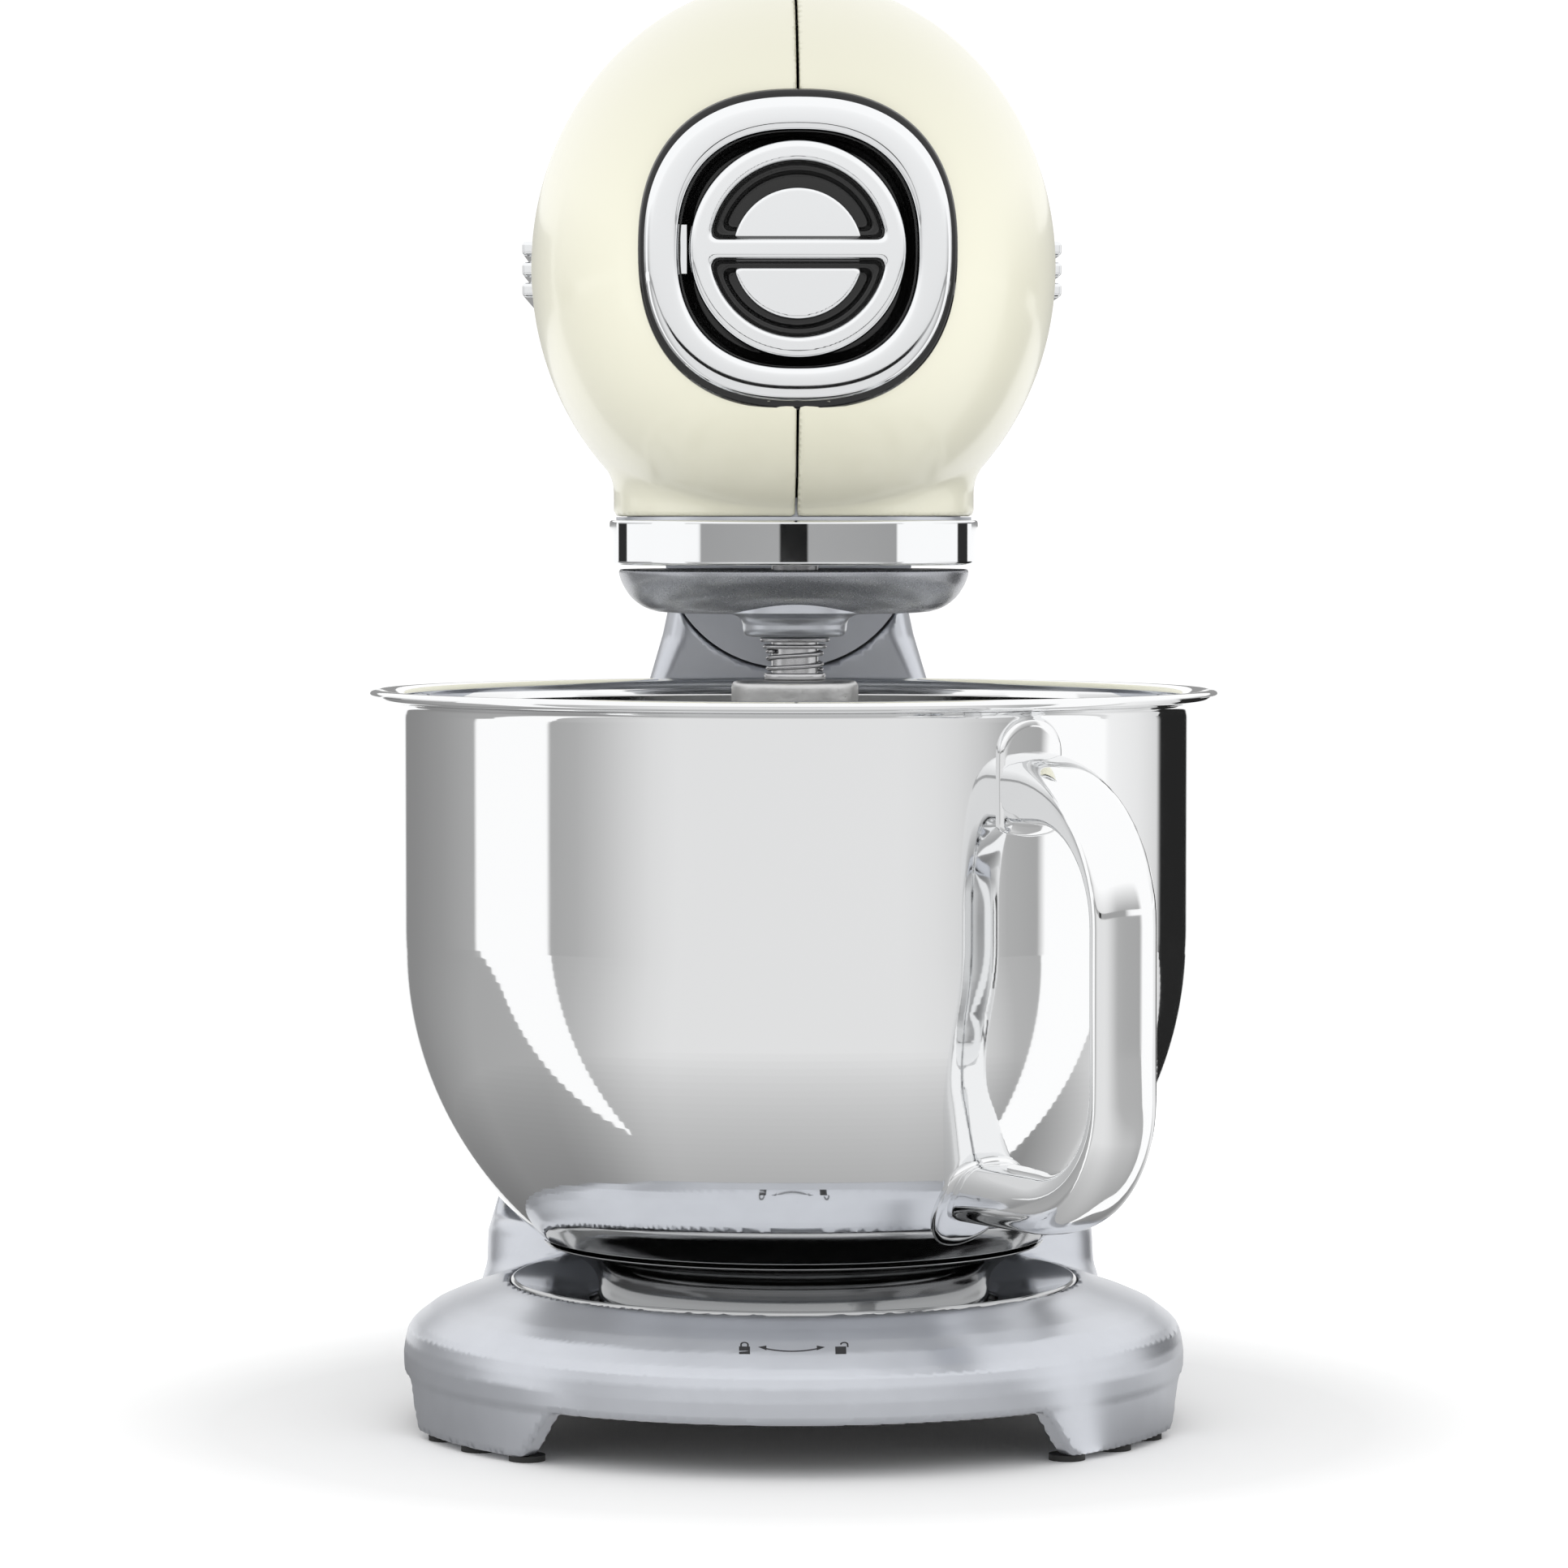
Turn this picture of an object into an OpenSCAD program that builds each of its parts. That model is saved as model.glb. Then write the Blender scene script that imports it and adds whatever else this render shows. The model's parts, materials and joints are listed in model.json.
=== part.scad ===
// Tilt-head stand mixer: one-piece stand, lift-up head with a geared planetary drive,
// front attachment hub, twist-lock bowl with a handle, and a flat beater.
// Millimetres, +Z up, the nose of the head points along -Y. Modules are drawn about the bowl's
// own axis, and place() carries them to the part's origin, under the middle of the mixer.

/* [Stand] */
// Radius of the round front of the base
base_r = 101.9; // [100:0.1:104]
// Height of the base's skirt above the table, between the feet
skirt_z = 13.5; // [12:0.1:14]
// Half width of the column where it leaves the base
column_half_w = 82.8; // [80:0.1:85]
// Wall of the stand casting
stand_wall = 4.5; // [4:0.1:5]

/* [Bowl] */
// Outer radius of the bowl's wall and of its half-round bottom
bowl_r = 104.5; // [103:0.1:106]
// Height of the top of the rim above the table
rim_z = 191.5; // [190:0.1:192]
// Thickness of the bowl's steel
bowl_wall = 1.0; // [0.8:0.1:1.2]
// Angle of the handle from the front towards the right
handle_angle = 33; // [25:1:40]

/* [Head] */
// Half the head's width
head_half_w = 68.5; // [68:0.1:70]
// Half the head's height
head_half_h = 75; // [74:0.1:76]
// Height of the head's middle line above the table
head_z = 301; // [300:0.1:302]
// Wall of the two head shells
shell_wall = 3; // [2.5:0.1:3.2]

/* [Drive] */
// Teeth of the fixed ring gear
ring_teeth = 45; // [45]
// Teeth of the planet pinion
planet_teeth = 15; // [15]
// Module of the ring gear and the planet pinion
planet_module = 1.5; // [1.5]
// Module of the two reduction stages
drive_module = 1.25; // [1.25]
// Play between gear teeth, measured round the pitch circle
backlash = 0.2; // [0.15:0.05:0.25]

/* [Hidden] */
$fn = 72;
smooth = 96;
hull_fn = 32;

// Where the bowl's axis stands behind or before the origin
axis_y = -80;
big = 400;
gap = 0.3;

// Stand
foot_z = 1.5;
base_top_z = 38;
seat_r = 74;
seat_floor_z = 21;
column_clear_r = 114.5;
foot_clear_r = 78;
column_top_z = 230;

// Hinge of the head
hinge_y = 232;
hinge_z = 238;
hinge_pin_r = 4;
ear_r = 11;
barrel_half_w = 16;
ear_half_w = 28;

// Keel: the rounded underside of the head frame that nests in the column
keel_front_r = 34;
keel_front_z = 227.5;
keel_rear_r = 13;
keel_rear_z = 236;
keel_gap = 0.6;

// Bowl
bowl_turn_z = 130;
foot_r = 51;
foot_bottom_z = 24;
lug_r = 56;

// Head outline
nose_full_y = 15;
nose_reach = 107.5;
tail_full_y = 215;
tail_reach = 76.5;
head_power = 2.2;
nose_cut_y = -76;
head_cut_z = 236.3;
neck_r = 46.8;
seam = 0.6;

// Hub at the nose
hub_z = 302;
hub_face_y = -84;
hub_power = 2.6;
gasket_half = 39.6;
bezel_half = 37.4;
bezel_in_w = 29.2;
bezel_in_h = 30.3;
knob_r = 27;
knob_dish_r = 22;

// Drive
pressure_angle = 25;
planet_offset = planet_module * (ring_teeth - planet_teeth) / 2;
lay_y = drive_module * (46 + 14) / 2;
motor_y = lay_y + drive_module * (48 + 12) / 2;
output_r = 5.5;
tool_r = 6;
run = 0.05;
bevel_teeth = 16;
bevel_r = 14;

// Height levels of the drive, from the bottom up
boss_z = 205.5;
carrier_z = 211.3;
carrier_top_z = 222.6;
plate_z = 265;
plate_t = 4;

// ---------------------------------------------------------------- helpers

module place() {
    translate([0, axis_y, 0]) children();
}

module tube(r_out, r_in, h) {
    difference() {
        cylinder(r = r_out, h = h);
        translate([0, 0, -1]) cylinder(r = r_in, h = h + 2);
    }
}

// A disc along Y, from y0 to y1, centred at height z
module disc_y(r, y0, y1, z, n = 72) {
    translate([0, y1, z]) rotate([90, 0, 0]) cylinder(r = r, h = y1 - y0, $fn = n);
}

// A disc along X, from x0 to x1
module disc_x(r, x0, x1, y, z) {
    translate([x0, y, z]) rotate([0, 90, 0]) cylinder(r = r, h = x1 - x0);
}

module box(x, y, z) {
    translate([x[0], y[0], z[0]]) cube([x[1] - x[0], y[1] - y[0], z[1] - z[0]]);
}

// Corners of one level for a hull: half width w, from y0 to y1, corner radius r, at height z
module slice(w, y0, y1, r, z, t = 0.2) {
    for (x = [-w + r, w - r], y = [y0 + r, y1 - r])
        translate([x, y, z]) cylinder(r = r, h = t, $fn = hull_fn);
}

function arc(cx, cy, r, a0, a1, n) =
    [for (i = [0 : n]) let (a = a0 + (a1 - a0) * i / n) [cx + r * cos(a), cy + r * sin(a)]];

function superellipse(a, b, power, n = 96) =
    [for (i = [0 : n - 1])
        let (t = 360 * i / n, c = cos(t), s = sin(t))
        [a * sign(c) * pow(abs(c), 2 / power), b * sign(s) * pow(abs(s), 2 / power)]];

// Involute gear outline. r_lo and r_hi bound the teeth, and play thins them (below 0 thickens).
function inv_deg(a) = (tan(a) * 180 / PI) - a;
function tooth_half(m, z, r, play) =
    let (pitch = m * z / 2, base = pitch * cos(pressure_angle),
         a = acos(min(1, base / r)))
    90 / z - play / 2 / pitch * 180 / PI + inv_deg(pressure_angle) - inv_deg(a);
function gear_points(m, z, r_lo, r_hi, play, steps = 4) =
    let (base = m * z / 2 * cos(pressure_angle), r_start = max(r_lo, base + 0.001))
    [for (i = [0 : z - 1])
        let (mid = 360 * i / z,
             radii = [for (k = [0 : steps]) r_start + (r_hi - r_start) * k / steps],
             up = [for (r = radii) [r, -tooth_half(m, z, r, play)]],
             down = [for (k = [steps : -1 : 0]) [radii[k], tooth_half(m, z, radii[k], play)]],
             foot = [r_lo, tooth_half(m, z, r_start, play)])
        for (p = concat(r_lo < r_start ? [[foot[0], -foot[1]]] : [], up, down,
                        r_lo < r_start ? [foot] : []))
            [p[0] * cos(mid + p[1]), p[0] * sin(mid + p[1])]];

// Spur gear with its first tooth at the angle first, addendum and dedendum in modules
module spur(m, z, h, first, add = 1, ded = 1.25) {
    pitch = m * z / 2;
    rotate(first) linear_extrude(h)
        polygon(gear_points(m, z, pitch - ded * m, pitch + add * m, backlash));
}

// Closed tube swept round a helix, for springs
module helix(r, wire, height, turns, sides = 8, per_turn = 20) {
    n = round(turns * per_turn);
    slope = atan2(height, 2 * PI * r * turns);
    points = [for (i = [0 : n])
        let (a = 360 * turns * i / n, z = height * i / n)
        for (j = [0 : sides - 1])
            let (b = 360 * j / sides, out = wire * cos(b), rise = wire * sin(b))
            [(r + out) * cos(a) + rise * sin(slope) * sin(a),
             (r + out) * sin(a) - rise * sin(slope) * cos(a),
             z + rise * cos(slope)]];
    sides_faces = [for (i = [0 : n - 1], j = [0 : sides - 1])
        let (k = (j + 1) % sides)
        [i * sides + j, (i + 1) * sides + j, (i + 1) * sides + k, i * sides + k]];
    polyhedron(points, concat(sides_faces,
        [[for (j = [0 : sides - 1]) j]],
        [[for (j = [sides - 1 : -1 : 0]) n * sides + j]]), convexity = 8);
}

// ---------------------------------------------------------------- stand

base_rear_y = 280;
base_rear_w = 86;

// One level of the round front of the base, drawn in by inset
module front_level(z, inset, t = 0.2) {
    translate([0, 0, z]) cylinder(r = base_r - inset, h = t, $fn = smooth);
}

// One level of the block behind it, under the column
module rear_level(z, inset, t = 0.2) {
    for (x = [-1, 1], y = [60, base_rear_y - 40])
        translate([x * (base_rear_w - 40), y, z]) cylinder(r = 40 - inset, h = t, $fn = smooth);
}

// Levels of the base, from its skirt up its shoulder: [height, inset]
base_levels = [[skirt_z, 0.4], [18, 0], [22.5, 0.8], [26.5, 2.8], [29.5, 6.5], [base_top_z - 0.2, 27.5]];

module base_form() {
    hull() for (l = base_levels) front_level(l[0], l[1]);
    hull() for (l = base_levels) rear_level(l[0], l[1]);
}

module base_hollow() {
    hull() {
        front_level(skirt_z - 1, stand_wall);
        front_level(16.5, stand_wall + 1);
    }
    hull() {
        rear_level(skirt_z - 1, stand_wall);
        rear_level(16.5, stand_wall + 1);
    }
}

// Column slices: [half width, front, rear, corner radius, height]
column_levels = [
    [column_half_w, 30, 268, 26, 20],
    [column_half_w, 48, 267, 26, 41],
    [35.3, 104, 256, 17, 203],
    [30, 106, 250, 15, column_top_z - 0.2]
];

module column_form(inset = 0) {
    hull() for (l = column_levels)
        slice(l[0] - inset, l[1] + inset, l[2] - inset, max(3, l[3] - inset), l[4]);
}

// The column's inside, open to the space under the base
module column_hollow() {
    hull() {
        slice(column_half_w - 7, foot_clear_r + 6, 261, 20, 12);
        slice(column_half_w - 9, column_clear_r + 6, 260, 20, 41);
        slice(36, column_clear_r + 6, 249, 12, 184);
    }
}

module keel_cone(extra = 0, front = 100) {
    slope = (keel_front_r - keel_rear_r) / 113;
    hull() {
        disc_y(keel_front_r + extra + slope * (113 - front), front, front + 0.2,
               keel_front_z - (keel_rear_z - keel_front_z) / 113 * (113 - front), 64);
        disc_y(keel_rear_r + extra, 226, 226.2, keel_rear_z, 64);
    }
}

// Plan of one foot, and its S-shaped sides as the skirt is cut away beside it
foot_front = [37, 78];
module foot_sector(a0, a1) {
    rotate_extrude(angle = a1 - a0) translate([base_r - 12, 0]) square([11.4, skirt_z + 2]);
}

module front_foot(side) {
    start = side > 0 ? -90 + foot_front[0] : -90 - foot_front[1];
    translate([0, 0, foot_z]) rotate(start) foot_sector(0, foot_front[1] - foot_front[0]);
}

module rear_foot(side) {
    translate([side * (base_rear_w - 40), base_rear_y - 40, foot_z])
        rotate(side > 0 ? 5 : 95)
            rotate_extrude(angle = 80) translate([28, 0]) square([11.4, skirt_z + 2]);
}

module hinge_ears() {
    for (s = [-1, 1]) {
        x = s > 0 ? [barrel_half_w + gap, ear_half_w] : [-ear_half_w, -barrel_half_w - gap];
        disc_x(ear_r, x[0], x[1], hinge_y, hinge_z);
        box(x, [hinge_y - ear_r, hinge_y + ear_r - 2], [205, hinge_z]);
    }
}

module stand_casting() place() color([0.62, 0.64, 0.67]) {
    difference() {
        union() {
            difference() {
                union() {
                    base_form();
                    column_form();
                }
                // the bowl's space: down to its seat, and up past its rim
                translate([0, 0, base_top_z + 7]) cylinder(r = column_clear_r, h = big, $fn = smooth);
                translate([0, 0, base_top_z - 0.6]) cylinder(r = foot_clear_r, h = big, $fn = smooth);
                // the chamfer that the head's tail swings down over
                translate([0, 228, column_top_z]) rotate([-36, 0, 0])
                    translate([-big / 2, 0, 0]) cube([big, big, 60]);
                base_hollow();
                column_hollow();
            }
            // floor under the bowl's seat, and its screw bosses
            translate([0, 0, 16.4]) cylinder(r = 80, h = 4.6 - 0.1, $fn = smooth);
            for (s = [-1, 1]) {
                front_foot(s);
                rear_foot(s);
            }
            hinge_ears();
        }
        keel_cone(keel_gap);
        // room for the frame's hinge barrel
        disc_x(ear_r + 0.6, -barrel_half_w - gap, barrel_half_w + gap, hinge_y, hinge_z);
        box([-barrel_half_w - gap, barrel_half_w + gap], [212, 250], [hinge_z - 13, big]);
        // seat of the bowl, bores of the hinge pin, the lock and the mains lead
        translate([0, 0, seat_floor_z]) cylinder(r = seat_r + 0.2, h = 60, $fn = smooth);
        for (a = [45 : 90 : 315]) rotate(a) translate([40, 0, 10]) cylinder(r = 2, h = 12);
        disc_x(hinge_pin_r, -60, 60, hinge_y, hinge_z);
        disc_y(14, 240, 290, lock_z);
        disc_y(8, 240, 290, gland_z);
        // the lock's hook reaches the keel through this slot
        box([-4.5, 4.5], [138, 178], [168, 235]);
    }
}

module bottom_plate() place() color([0.2, 0.2, 0.21]) {
    difference() {
        union() {
            front_level(skirt_z - 2, stand_wall + 8.5, 2);
            hull() rear_level(skirt_z - 2, stand_wall + 8.5, 2);
        }
        for (p = bottom_screw_places) translate([p[0], p[1], 0]) cylinder(r = 2, h = 30);
    }
}

bottom_screw_places = [[-70, 30], [70, 30], [-62, 150], [62, 150], [-40, 232], [40, 232]];

module bottom_screws() place() color([0.75, 0.75, 0.77]) {
    for (p = bottom_screw_places) translate([p[0], p[1], 0]) {
        translate([0, 0, skirt_z - 4]) cylinder(r = 3.6, h = 2);
        translate([0, 0, skirt_z - 2]) cylinder(r = 1.9, h = 4.6);
    }
}

// Rubber pads let into the undersides of the four feet
module rubber_feet() place() color([0.1, 0.1, 0.1]) {
    for (s = [-1, 1]) {
        rotate(-90 + s * 57) translate([base_r - 6.2, 0, 0]) cylinder(r = 4.6, h = foot_z);
        rotate(-90 + s * 45) translate([base_r - 6.2, 0, 0]) cylinder(r = 4.6, h = foot_z);
        rotate(-90 + s * 69) translate([base_r - 6.2, 0, 0]) cylinder(r = 4.6, h = foot_z);
        for (a = [20, 45, 70])
            translate([s * (base_rear_w - 40), base_rear_y - 40, 0])
                rotate(s > 0 ? a : 180 - a) translate([32.6, 0, 0]) cylinder(r = 4.6, h = foot_z);
    }
}

// Chrome twist-lock seat: floor, chamber for the bowl's lugs, and a sloping dish
lug_half = 13;
slot_half = 16;
twist = 30;
module bowl_seat() place() color([0.86, 0.87, 0.88]) {
    difference() {
        rotate_extrude($fn = smooth) polygon([
            [0, seat_floor_z], [62, seat_floor_z], [62, 34.2], [seat_r, 35.4], [seat_r, 37.3],
            [73.2, 37.9], [55, 33.4], [53, 32.4], [53, 29.6], [58, 29.6], [58, 23.2], [0, 23.2]]);
        for (k = [0 : 2])
            rotate(k * 120 + twist - slot_half)
                rotate_extrude(angle = 2 * slot_half, $fn = smooth)
                    translate([50, 25]) square([6.6, 12]);
        for (a = [45 : 90 : 315]) rotate(a) translate([40, 0, 10]) cylinder(r = 2, h = 20);
    }
}

module seat_screws() place() color([0.75, 0.75, 0.77]) {
    for (a = [45 : 90 : 315]) rotate(a) translate([40, 0, 0]) {
        translate([0, 0, 23.2]) cylinder(r = 3.6, h = 2);
        translate([0, 0, 14]) cylinder(r = 1.9, h = 9.2);
    }
}

module hinge_pin() place() color([0.7, 0.7, 0.72]) {
    disc_x(hinge_pin_r, -ear_half_w, ear_half_w, hinge_y, hinge_z);
}

gland_z = 62;
module cable_gland() place() color([0.12, 0.12, 0.12]) {
    difference() {
        union() {
            disc_y(7.9, 252, 270, gland_z);
            disc_y(10.5, gland_rear_y, gland_rear_y + 5, gland_z);
        }
        disc_y(3.6, 240, 290, gland_z);
    }
}
gland_rear_y = 266.6;

module power_board() place() color([0.1, 0.35, 0.2]) {
    box([-42, 42], [222, 223.6], [60, 140]);
    box([-30, -2], [203, 222], [70, 100]);
    box([8, 34], [212, 222], [68, 88]);
    for (x = [-20, 0, 20]) disc_y(6, 206, 222, 120);
}

// ---------------------------------------------------------------- head lock

lock_z = 176;
module lock_guide() place() color([0.82, 0.83, 0.84]) {
    difference() {
        union() {
            disc_y(13.9, 244, 262, lock_z);
            disc_y(17, lock_face_y, lock_face_y + 2.5, lock_z);
        }
        disc_y(10.6, 252, 290, lock_z);
        disc_y(3.2, 240, 290, lock_z);
    }
}
lock_face_y = 259.6;

module lock_button() place() color([0.85, 0.86, 0.87]) {
    disc_y(10.2, 260, 269, lock_z);
    disc_y(8.6, 269, 270.2, lock_z);
}

// Push rod with a hook that rises through the column into the keel
module lock_rod() place() color([0.55, 0.55, 0.57]) {
    disc_y(3, 150, 260, lock_z);
    box([-3, 3], [150, 156], [lock_z - 3, 214]);
    box([-3, 3], [156, 160], [210, 214]);
}

module lock_spring() place() color([0.5, 0.5, 0.52]) {
    translate([0, 259.4, lock_z]) rotate([90, 0, 0]) translate([0, 0, 0.8]) helix(7, 0.7, 5.4, 2);
}

// ---------------------------------------------------------------- bowl

function bowl_outside(r_ball) = arc(0, bowl_turn_z, r_ball, -51.3, 0, 18);

module bowl_shell() place() color([0.83, 0.84, 0.85]) {
    inner = bowl_r - bowl_wall;
    rotate_extrude($fn = smooth) polygon(concat(
        [[0, 51.6], [18, 50.2], [40, 48.2], [61.5, 47.8], [64, 47.9]],
        bowl_outside(bowl_r),
        [[bowl_r, rim_z - 5]],
        // rolled rim
        [[105.4, rim_z - 3.6], [107.4, rim_z - 2.9], [109.4, rim_z - 2.6], [110.5, rim_z - 1.6],
         [110.3, rim_z - 0.6], [109, rim_z], [106.4, rim_z - 0.3], [104.4, rim_z - 1.4],
         [inner, rim_z - 4]],
        [for (p = arc(0, bowl_turn_z, inner, 0, -51, 18)) p],
        [[62, 48.9], [40, 49.3], [18, 51.3], [0, 52.7]]));
}

// Trumpet-shaped foot with three twist-lock lugs
module bowl_foot() place() color([0.86, 0.87, 0.88]) {
    rotate_extrude($fn = smooth) polygon(concat(
        [[foot_r - 1.2, foot_bottom_z], [foot_r, foot_bottom_z], [foot_r, 36]],
        [[51.7, 38.6], [53.6, 41.6], [56.6, 44.2], [60.2, 46], [64.6, 47.2]],
        [[64.6, 47.7], [61.5, 47.6], [52, 47.4], [50, 46], [foot_r - 1.2, 42]]));
    for (k = [0 : 2])
        rotate(k * 120 - lug_half)
            rotate_extrude(angle = 2 * lug_half, $fn = smooth)
                translate([foot_r - 0.5, foot_bottom_z + 0.6]) square([lug_r - foot_r + 0.5, 3.6]);
}

// Handle: a bar bent in a loop, thick where its arms leave the bowl and thin down its front.
// Drawn in the plane of [distance from the axis, height].
handle_w = 18.7;
handle_outer_r = 146.3;
handle_inner_r = 139.8;
handle_top_z = 178.4;
handle_low_z = 60;
module handle_bar() {
    outer = concat(
        [[98, handle_top_z]], arc(handle_outer_r - 41, handle_top_z - 41, 41, 90, 0, 12),
        arc(handle_outer_r - 34, handle_low_z + 34, 34, 0, -90, 10), [[80, handle_low_z]]);
    inner = concat(
        [[80, 75.5]], arc(handle_inner_r - 24, 99.5, 24, -90, 0, 10),
        arc(handle_inner_r - 21.5, 139, 21.5, 0, 90, 10), [[98, 160.5]]);
    rotate(-90 + handle_angle) rotate([90, 0, 0])
        translate([0, 0, -handle_w / 2]) linear_extrude(handle_w) polygon(concat(outer, inner));
}

module bowl_handle() place() color([0.86, 0.87, 0.88]) {
    difference() {
        union() {
            handle_bar();
            // tongue and pad hug the bowl's wall
            rotate(-90 + handle_angle - 5.4) rotate_extrude(angle = 10.8, $fn = smooth)
                translate([bowl_r, 158]) square([1.6, 28]);
            intersection() {
                rotate(-90 + handle_angle - 8) rotate_extrude(angle = 16, $fn = smooth)
                    polygon(concat(arc(0, bowl_turn_z, bowl_r + 1.6, -46, -30, 6), [[60, 78], [60, 54]]));
                translate([0, 0, 50]) cylinder(r = big, h = 40);
            }
        }
        // the bowl itself
        translate([0, 0, bowl_turn_z]) cylinder(r = bowl_r, h = 100, $fn = smooth);
        translate([0, 0, bowl_turn_z]) sphere(r = bowl_r, $fn = smooth);
    }
}

// ---------------------------------------------------------------- head

// Half outline of the head seen from above, as [radius, distance along Y]; inset moves it inwards
function head_outline(inset) =
    let (w = head_half_w - inset, nose = nose_reach - inset, tail = tail_reach - inset)
    concat(
        [for (i = [0 : 9]) let (t = 90 * i / 9)
            [w * pow(sin(t), 2 / head_power), nose_full_y - nose * pow(cos(t), 2 / head_power)]],
        [for (i = [9 : -1 : 0]) let (t = 90 * i / 9)
            [w * pow(sin(t), 2 / head_power), tail_full_y + tail * pow(cos(t), 2 / head_power)]]);

module head_body(inset) {
    translate([0, 0, head_z]) scale([1, 1, (head_half_h - inset) / (head_half_w - inset)])
        rotate([-90, 0, 0]) rotate_extrude($fn = smooth)
            polygon([for (p = head_outline(inset)) [p[0], p[1]]]);
}

trim_half_w = 12;
trim_y = [18, 150];
trim_z = 371.5;
module head_skin() {
    difference() {
        union() {
            head_body(0);
            translate([0, 0, head_cut_z]) cylinder(r = neck_r, h = 20);
        }
        head_body(shell_wall);
        translate([0, 0, head_cut_z - 1]) cylinder(r = neck_r - shell_wall, h = 22);
        box([-big / 2, big / 2], [-big / 2, big], [head_cut_z - 60, head_cut_z]);
        // room for the stand's two ears as the head swings
        disc_x(ear_r + 2, -ear_half_w - 0.6, ear_half_w + 0.6, hinge_y, hinge_z);
        // opening for the hub, and for the speed slide's trim
        box([-big / 2, big / 2], [-big / 2, nose_cut_y], [head_cut_z - 1, big]);
        translate([0, nose_cut_y + 12, hub_z]) rotate([90, 0, 0]) linear_extrude(20)
            polygon(superellipse(gasket_half + 0.2, gasket_half + 0.2, hub_power, 64));
        box([-trim_half_w - 0.2, trim_half_w + 0.2], [trim_y[0] - 0.2, trim_y[1] + 0.2], [trim_z - 0.1, big]);
    }
}

module head_shell_left() place() color([0.93, 0.91, 0.83]) {
    intersection() {
        head_skin();
        box([-big / 2, -seam / 2], [-big / 2, big], [200, 500]);
    }
}

module head_shell_right() place() color([0.93, 0.91, 0.83]) {
    intersection() {
        head_skin();
        box([seam / 2, big / 2], [-big / 2, big], [200, 500]);
    }
}

// Casting that carries the gears and the motor, with the keel and the hinge barrel behind
module head_frame() place() color([0.62, 0.64, 0.67]) {
    difference() {
        union() {
            translate([0, 0, 224]) tube(46.2, 41, 12.1);
            translate([0, 0, 236]) cylinder(r = 43.4, h = 5);
            box([-34.4, 34.4], [48.3, 218], [232.4, 236.1]);
            box([-28, 28], [38, 218], [236, 241]);
            // rails past the hinge to the tail
            for (s = [-1, 1]) box(s > 0 ? [29, 34.4] : [-34.4, -29], [216, 250], [232.4, 236.1]);
            intersection() {
                keel_cone(0);
                box([-60, 60], [60, 222], [150, 236]);
            }
            disc_x(ear_r, -barrel_half_w, barrel_half_w, hinge_y, hinge_z);
            box([-barrel_half_w, barrel_half_w], [214, hinge_y], [hinge_z - 11, hinge_z + 3]);
            for (p = plate_posts) translate([p[0], p[1], 241]) cylinder(r = 4, h = plate_z - 241);
        }
        // the keel ends flush with the column's hollowed front
        translate([0, 0, 180]) cylinder(r = column_clear_r + 0.6, h = 52.4, $fn = smooth);
        // seats of the lower bearings
        translate([0, 0, 230]) cylinder(r = 13, h = 20);
        translate([0, lay_y, 230]) cylinder(r = 7, h = 20);
        disc_x(hinge_pin_r + run, -60, 60, hinge_y, hinge_z);
        // pocket that the lock's hook stands in
        box([-4.5, 4.5], [120, 178], [190, 222]);
        for (p = plate_posts) translate([p[0], p[1], 256]) cylinder(r = 1.6, h = 10);
    }
}
plate_posts = [[-35, 0], [35, 0], [-22, 96], [22, 96]];

module chrome_band() place() color([0.88, 0.89, 0.9]) {
    translate([0, 0, 223.8]) tube(47.9, 46.4, 11.5);
}

module ring_gear() place() color([0.6, 0.6, 0.62]) {
    pitch = planet_module * ring_teeth / 2;
    difference() {
        translate([0, 0, 224.2]) cylinder(r = 40.8, h = 9.8);
        translate([0, 0, 220]) rotate(270) linear_extrude(20)
            polygon(gear_points(planet_module, ring_teeth, pitch - 0.75 * planet_module,
                                pitch + 1.25 * planet_module, -backlash));
    }
}

module gearbox_plate() place() color([0.66, 0.67, 0.69]) {
    difference() {
        translate([0, 0, plate_z]) hull() {
            for (x = [-35, 35]) translate([x, 0, 0]) cylinder(r = 6, h = plate_t, $fn = hull_fn);
            translate([0, -26, 0]) cylinder(r = 10, h = plate_t, $fn = hull_fn);
            for (x = [-30, 30]) translate([x, motor_y + 30, 0]) cylinder(r = 6, h = plate_t, $fn = hull_fn);
        }
        translate([0, 0, plate_z - 1]) cylinder(r = 11, h = 10);
        translate([0, lay_y, plate_z - 1]) cylinder(r = 7, h = 10);
        translate([0, motor_y, plate_z - 1]) cylinder(r = 11, h = 10);
        for (p = plate_posts) translate([p[0], p[1], plate_z - 1]) cylinder(r = 1.9, h = 10);
    }
}

module bearings() place() color([0.7, 0.71, 0.73]) {
    translate([0, 0, 236]) tube(13, output_r + run, 5);
    translate([0, 0, plate_z]) tube(11, output_r + run, plate_t);
    translate([0, lay_y, 236]) tube(7, 4 + run, 5);
    translate([0, lay_y, plate_z]) tube(7, 4 + run, plate_t);
    translate([0, motor_y, plate_z]) tube(11, 4 + run, plate_t);
    translate([0, motor_y, 345]) tube(9, 4 + run, 4);
    for (y = [-66, -36]) translate([0, y + 6, hub_z]) rotate([90, 0, 0]) tube(13, 8 + run, 6);
}

// Motor with its axis upright, over the back of the gearbox
stator_z = 282;
stator_h = 34;
module motor_stator() place() color([0.45, 0.46, 0.48]) {
    translate([0, motor_y, stator_z]) difference() {
        cylinder(r = 36, h = stator_h);
        translate([0, 0, -1]) cylinder(r = 23.8, h = stator_h + 2);
        // winding slots on both sides
        for (s = [-1, 1]) translate([s * 29 - 3, -12, -1]) cube([6, 24, stator_h + 2]);
    }
}

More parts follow.
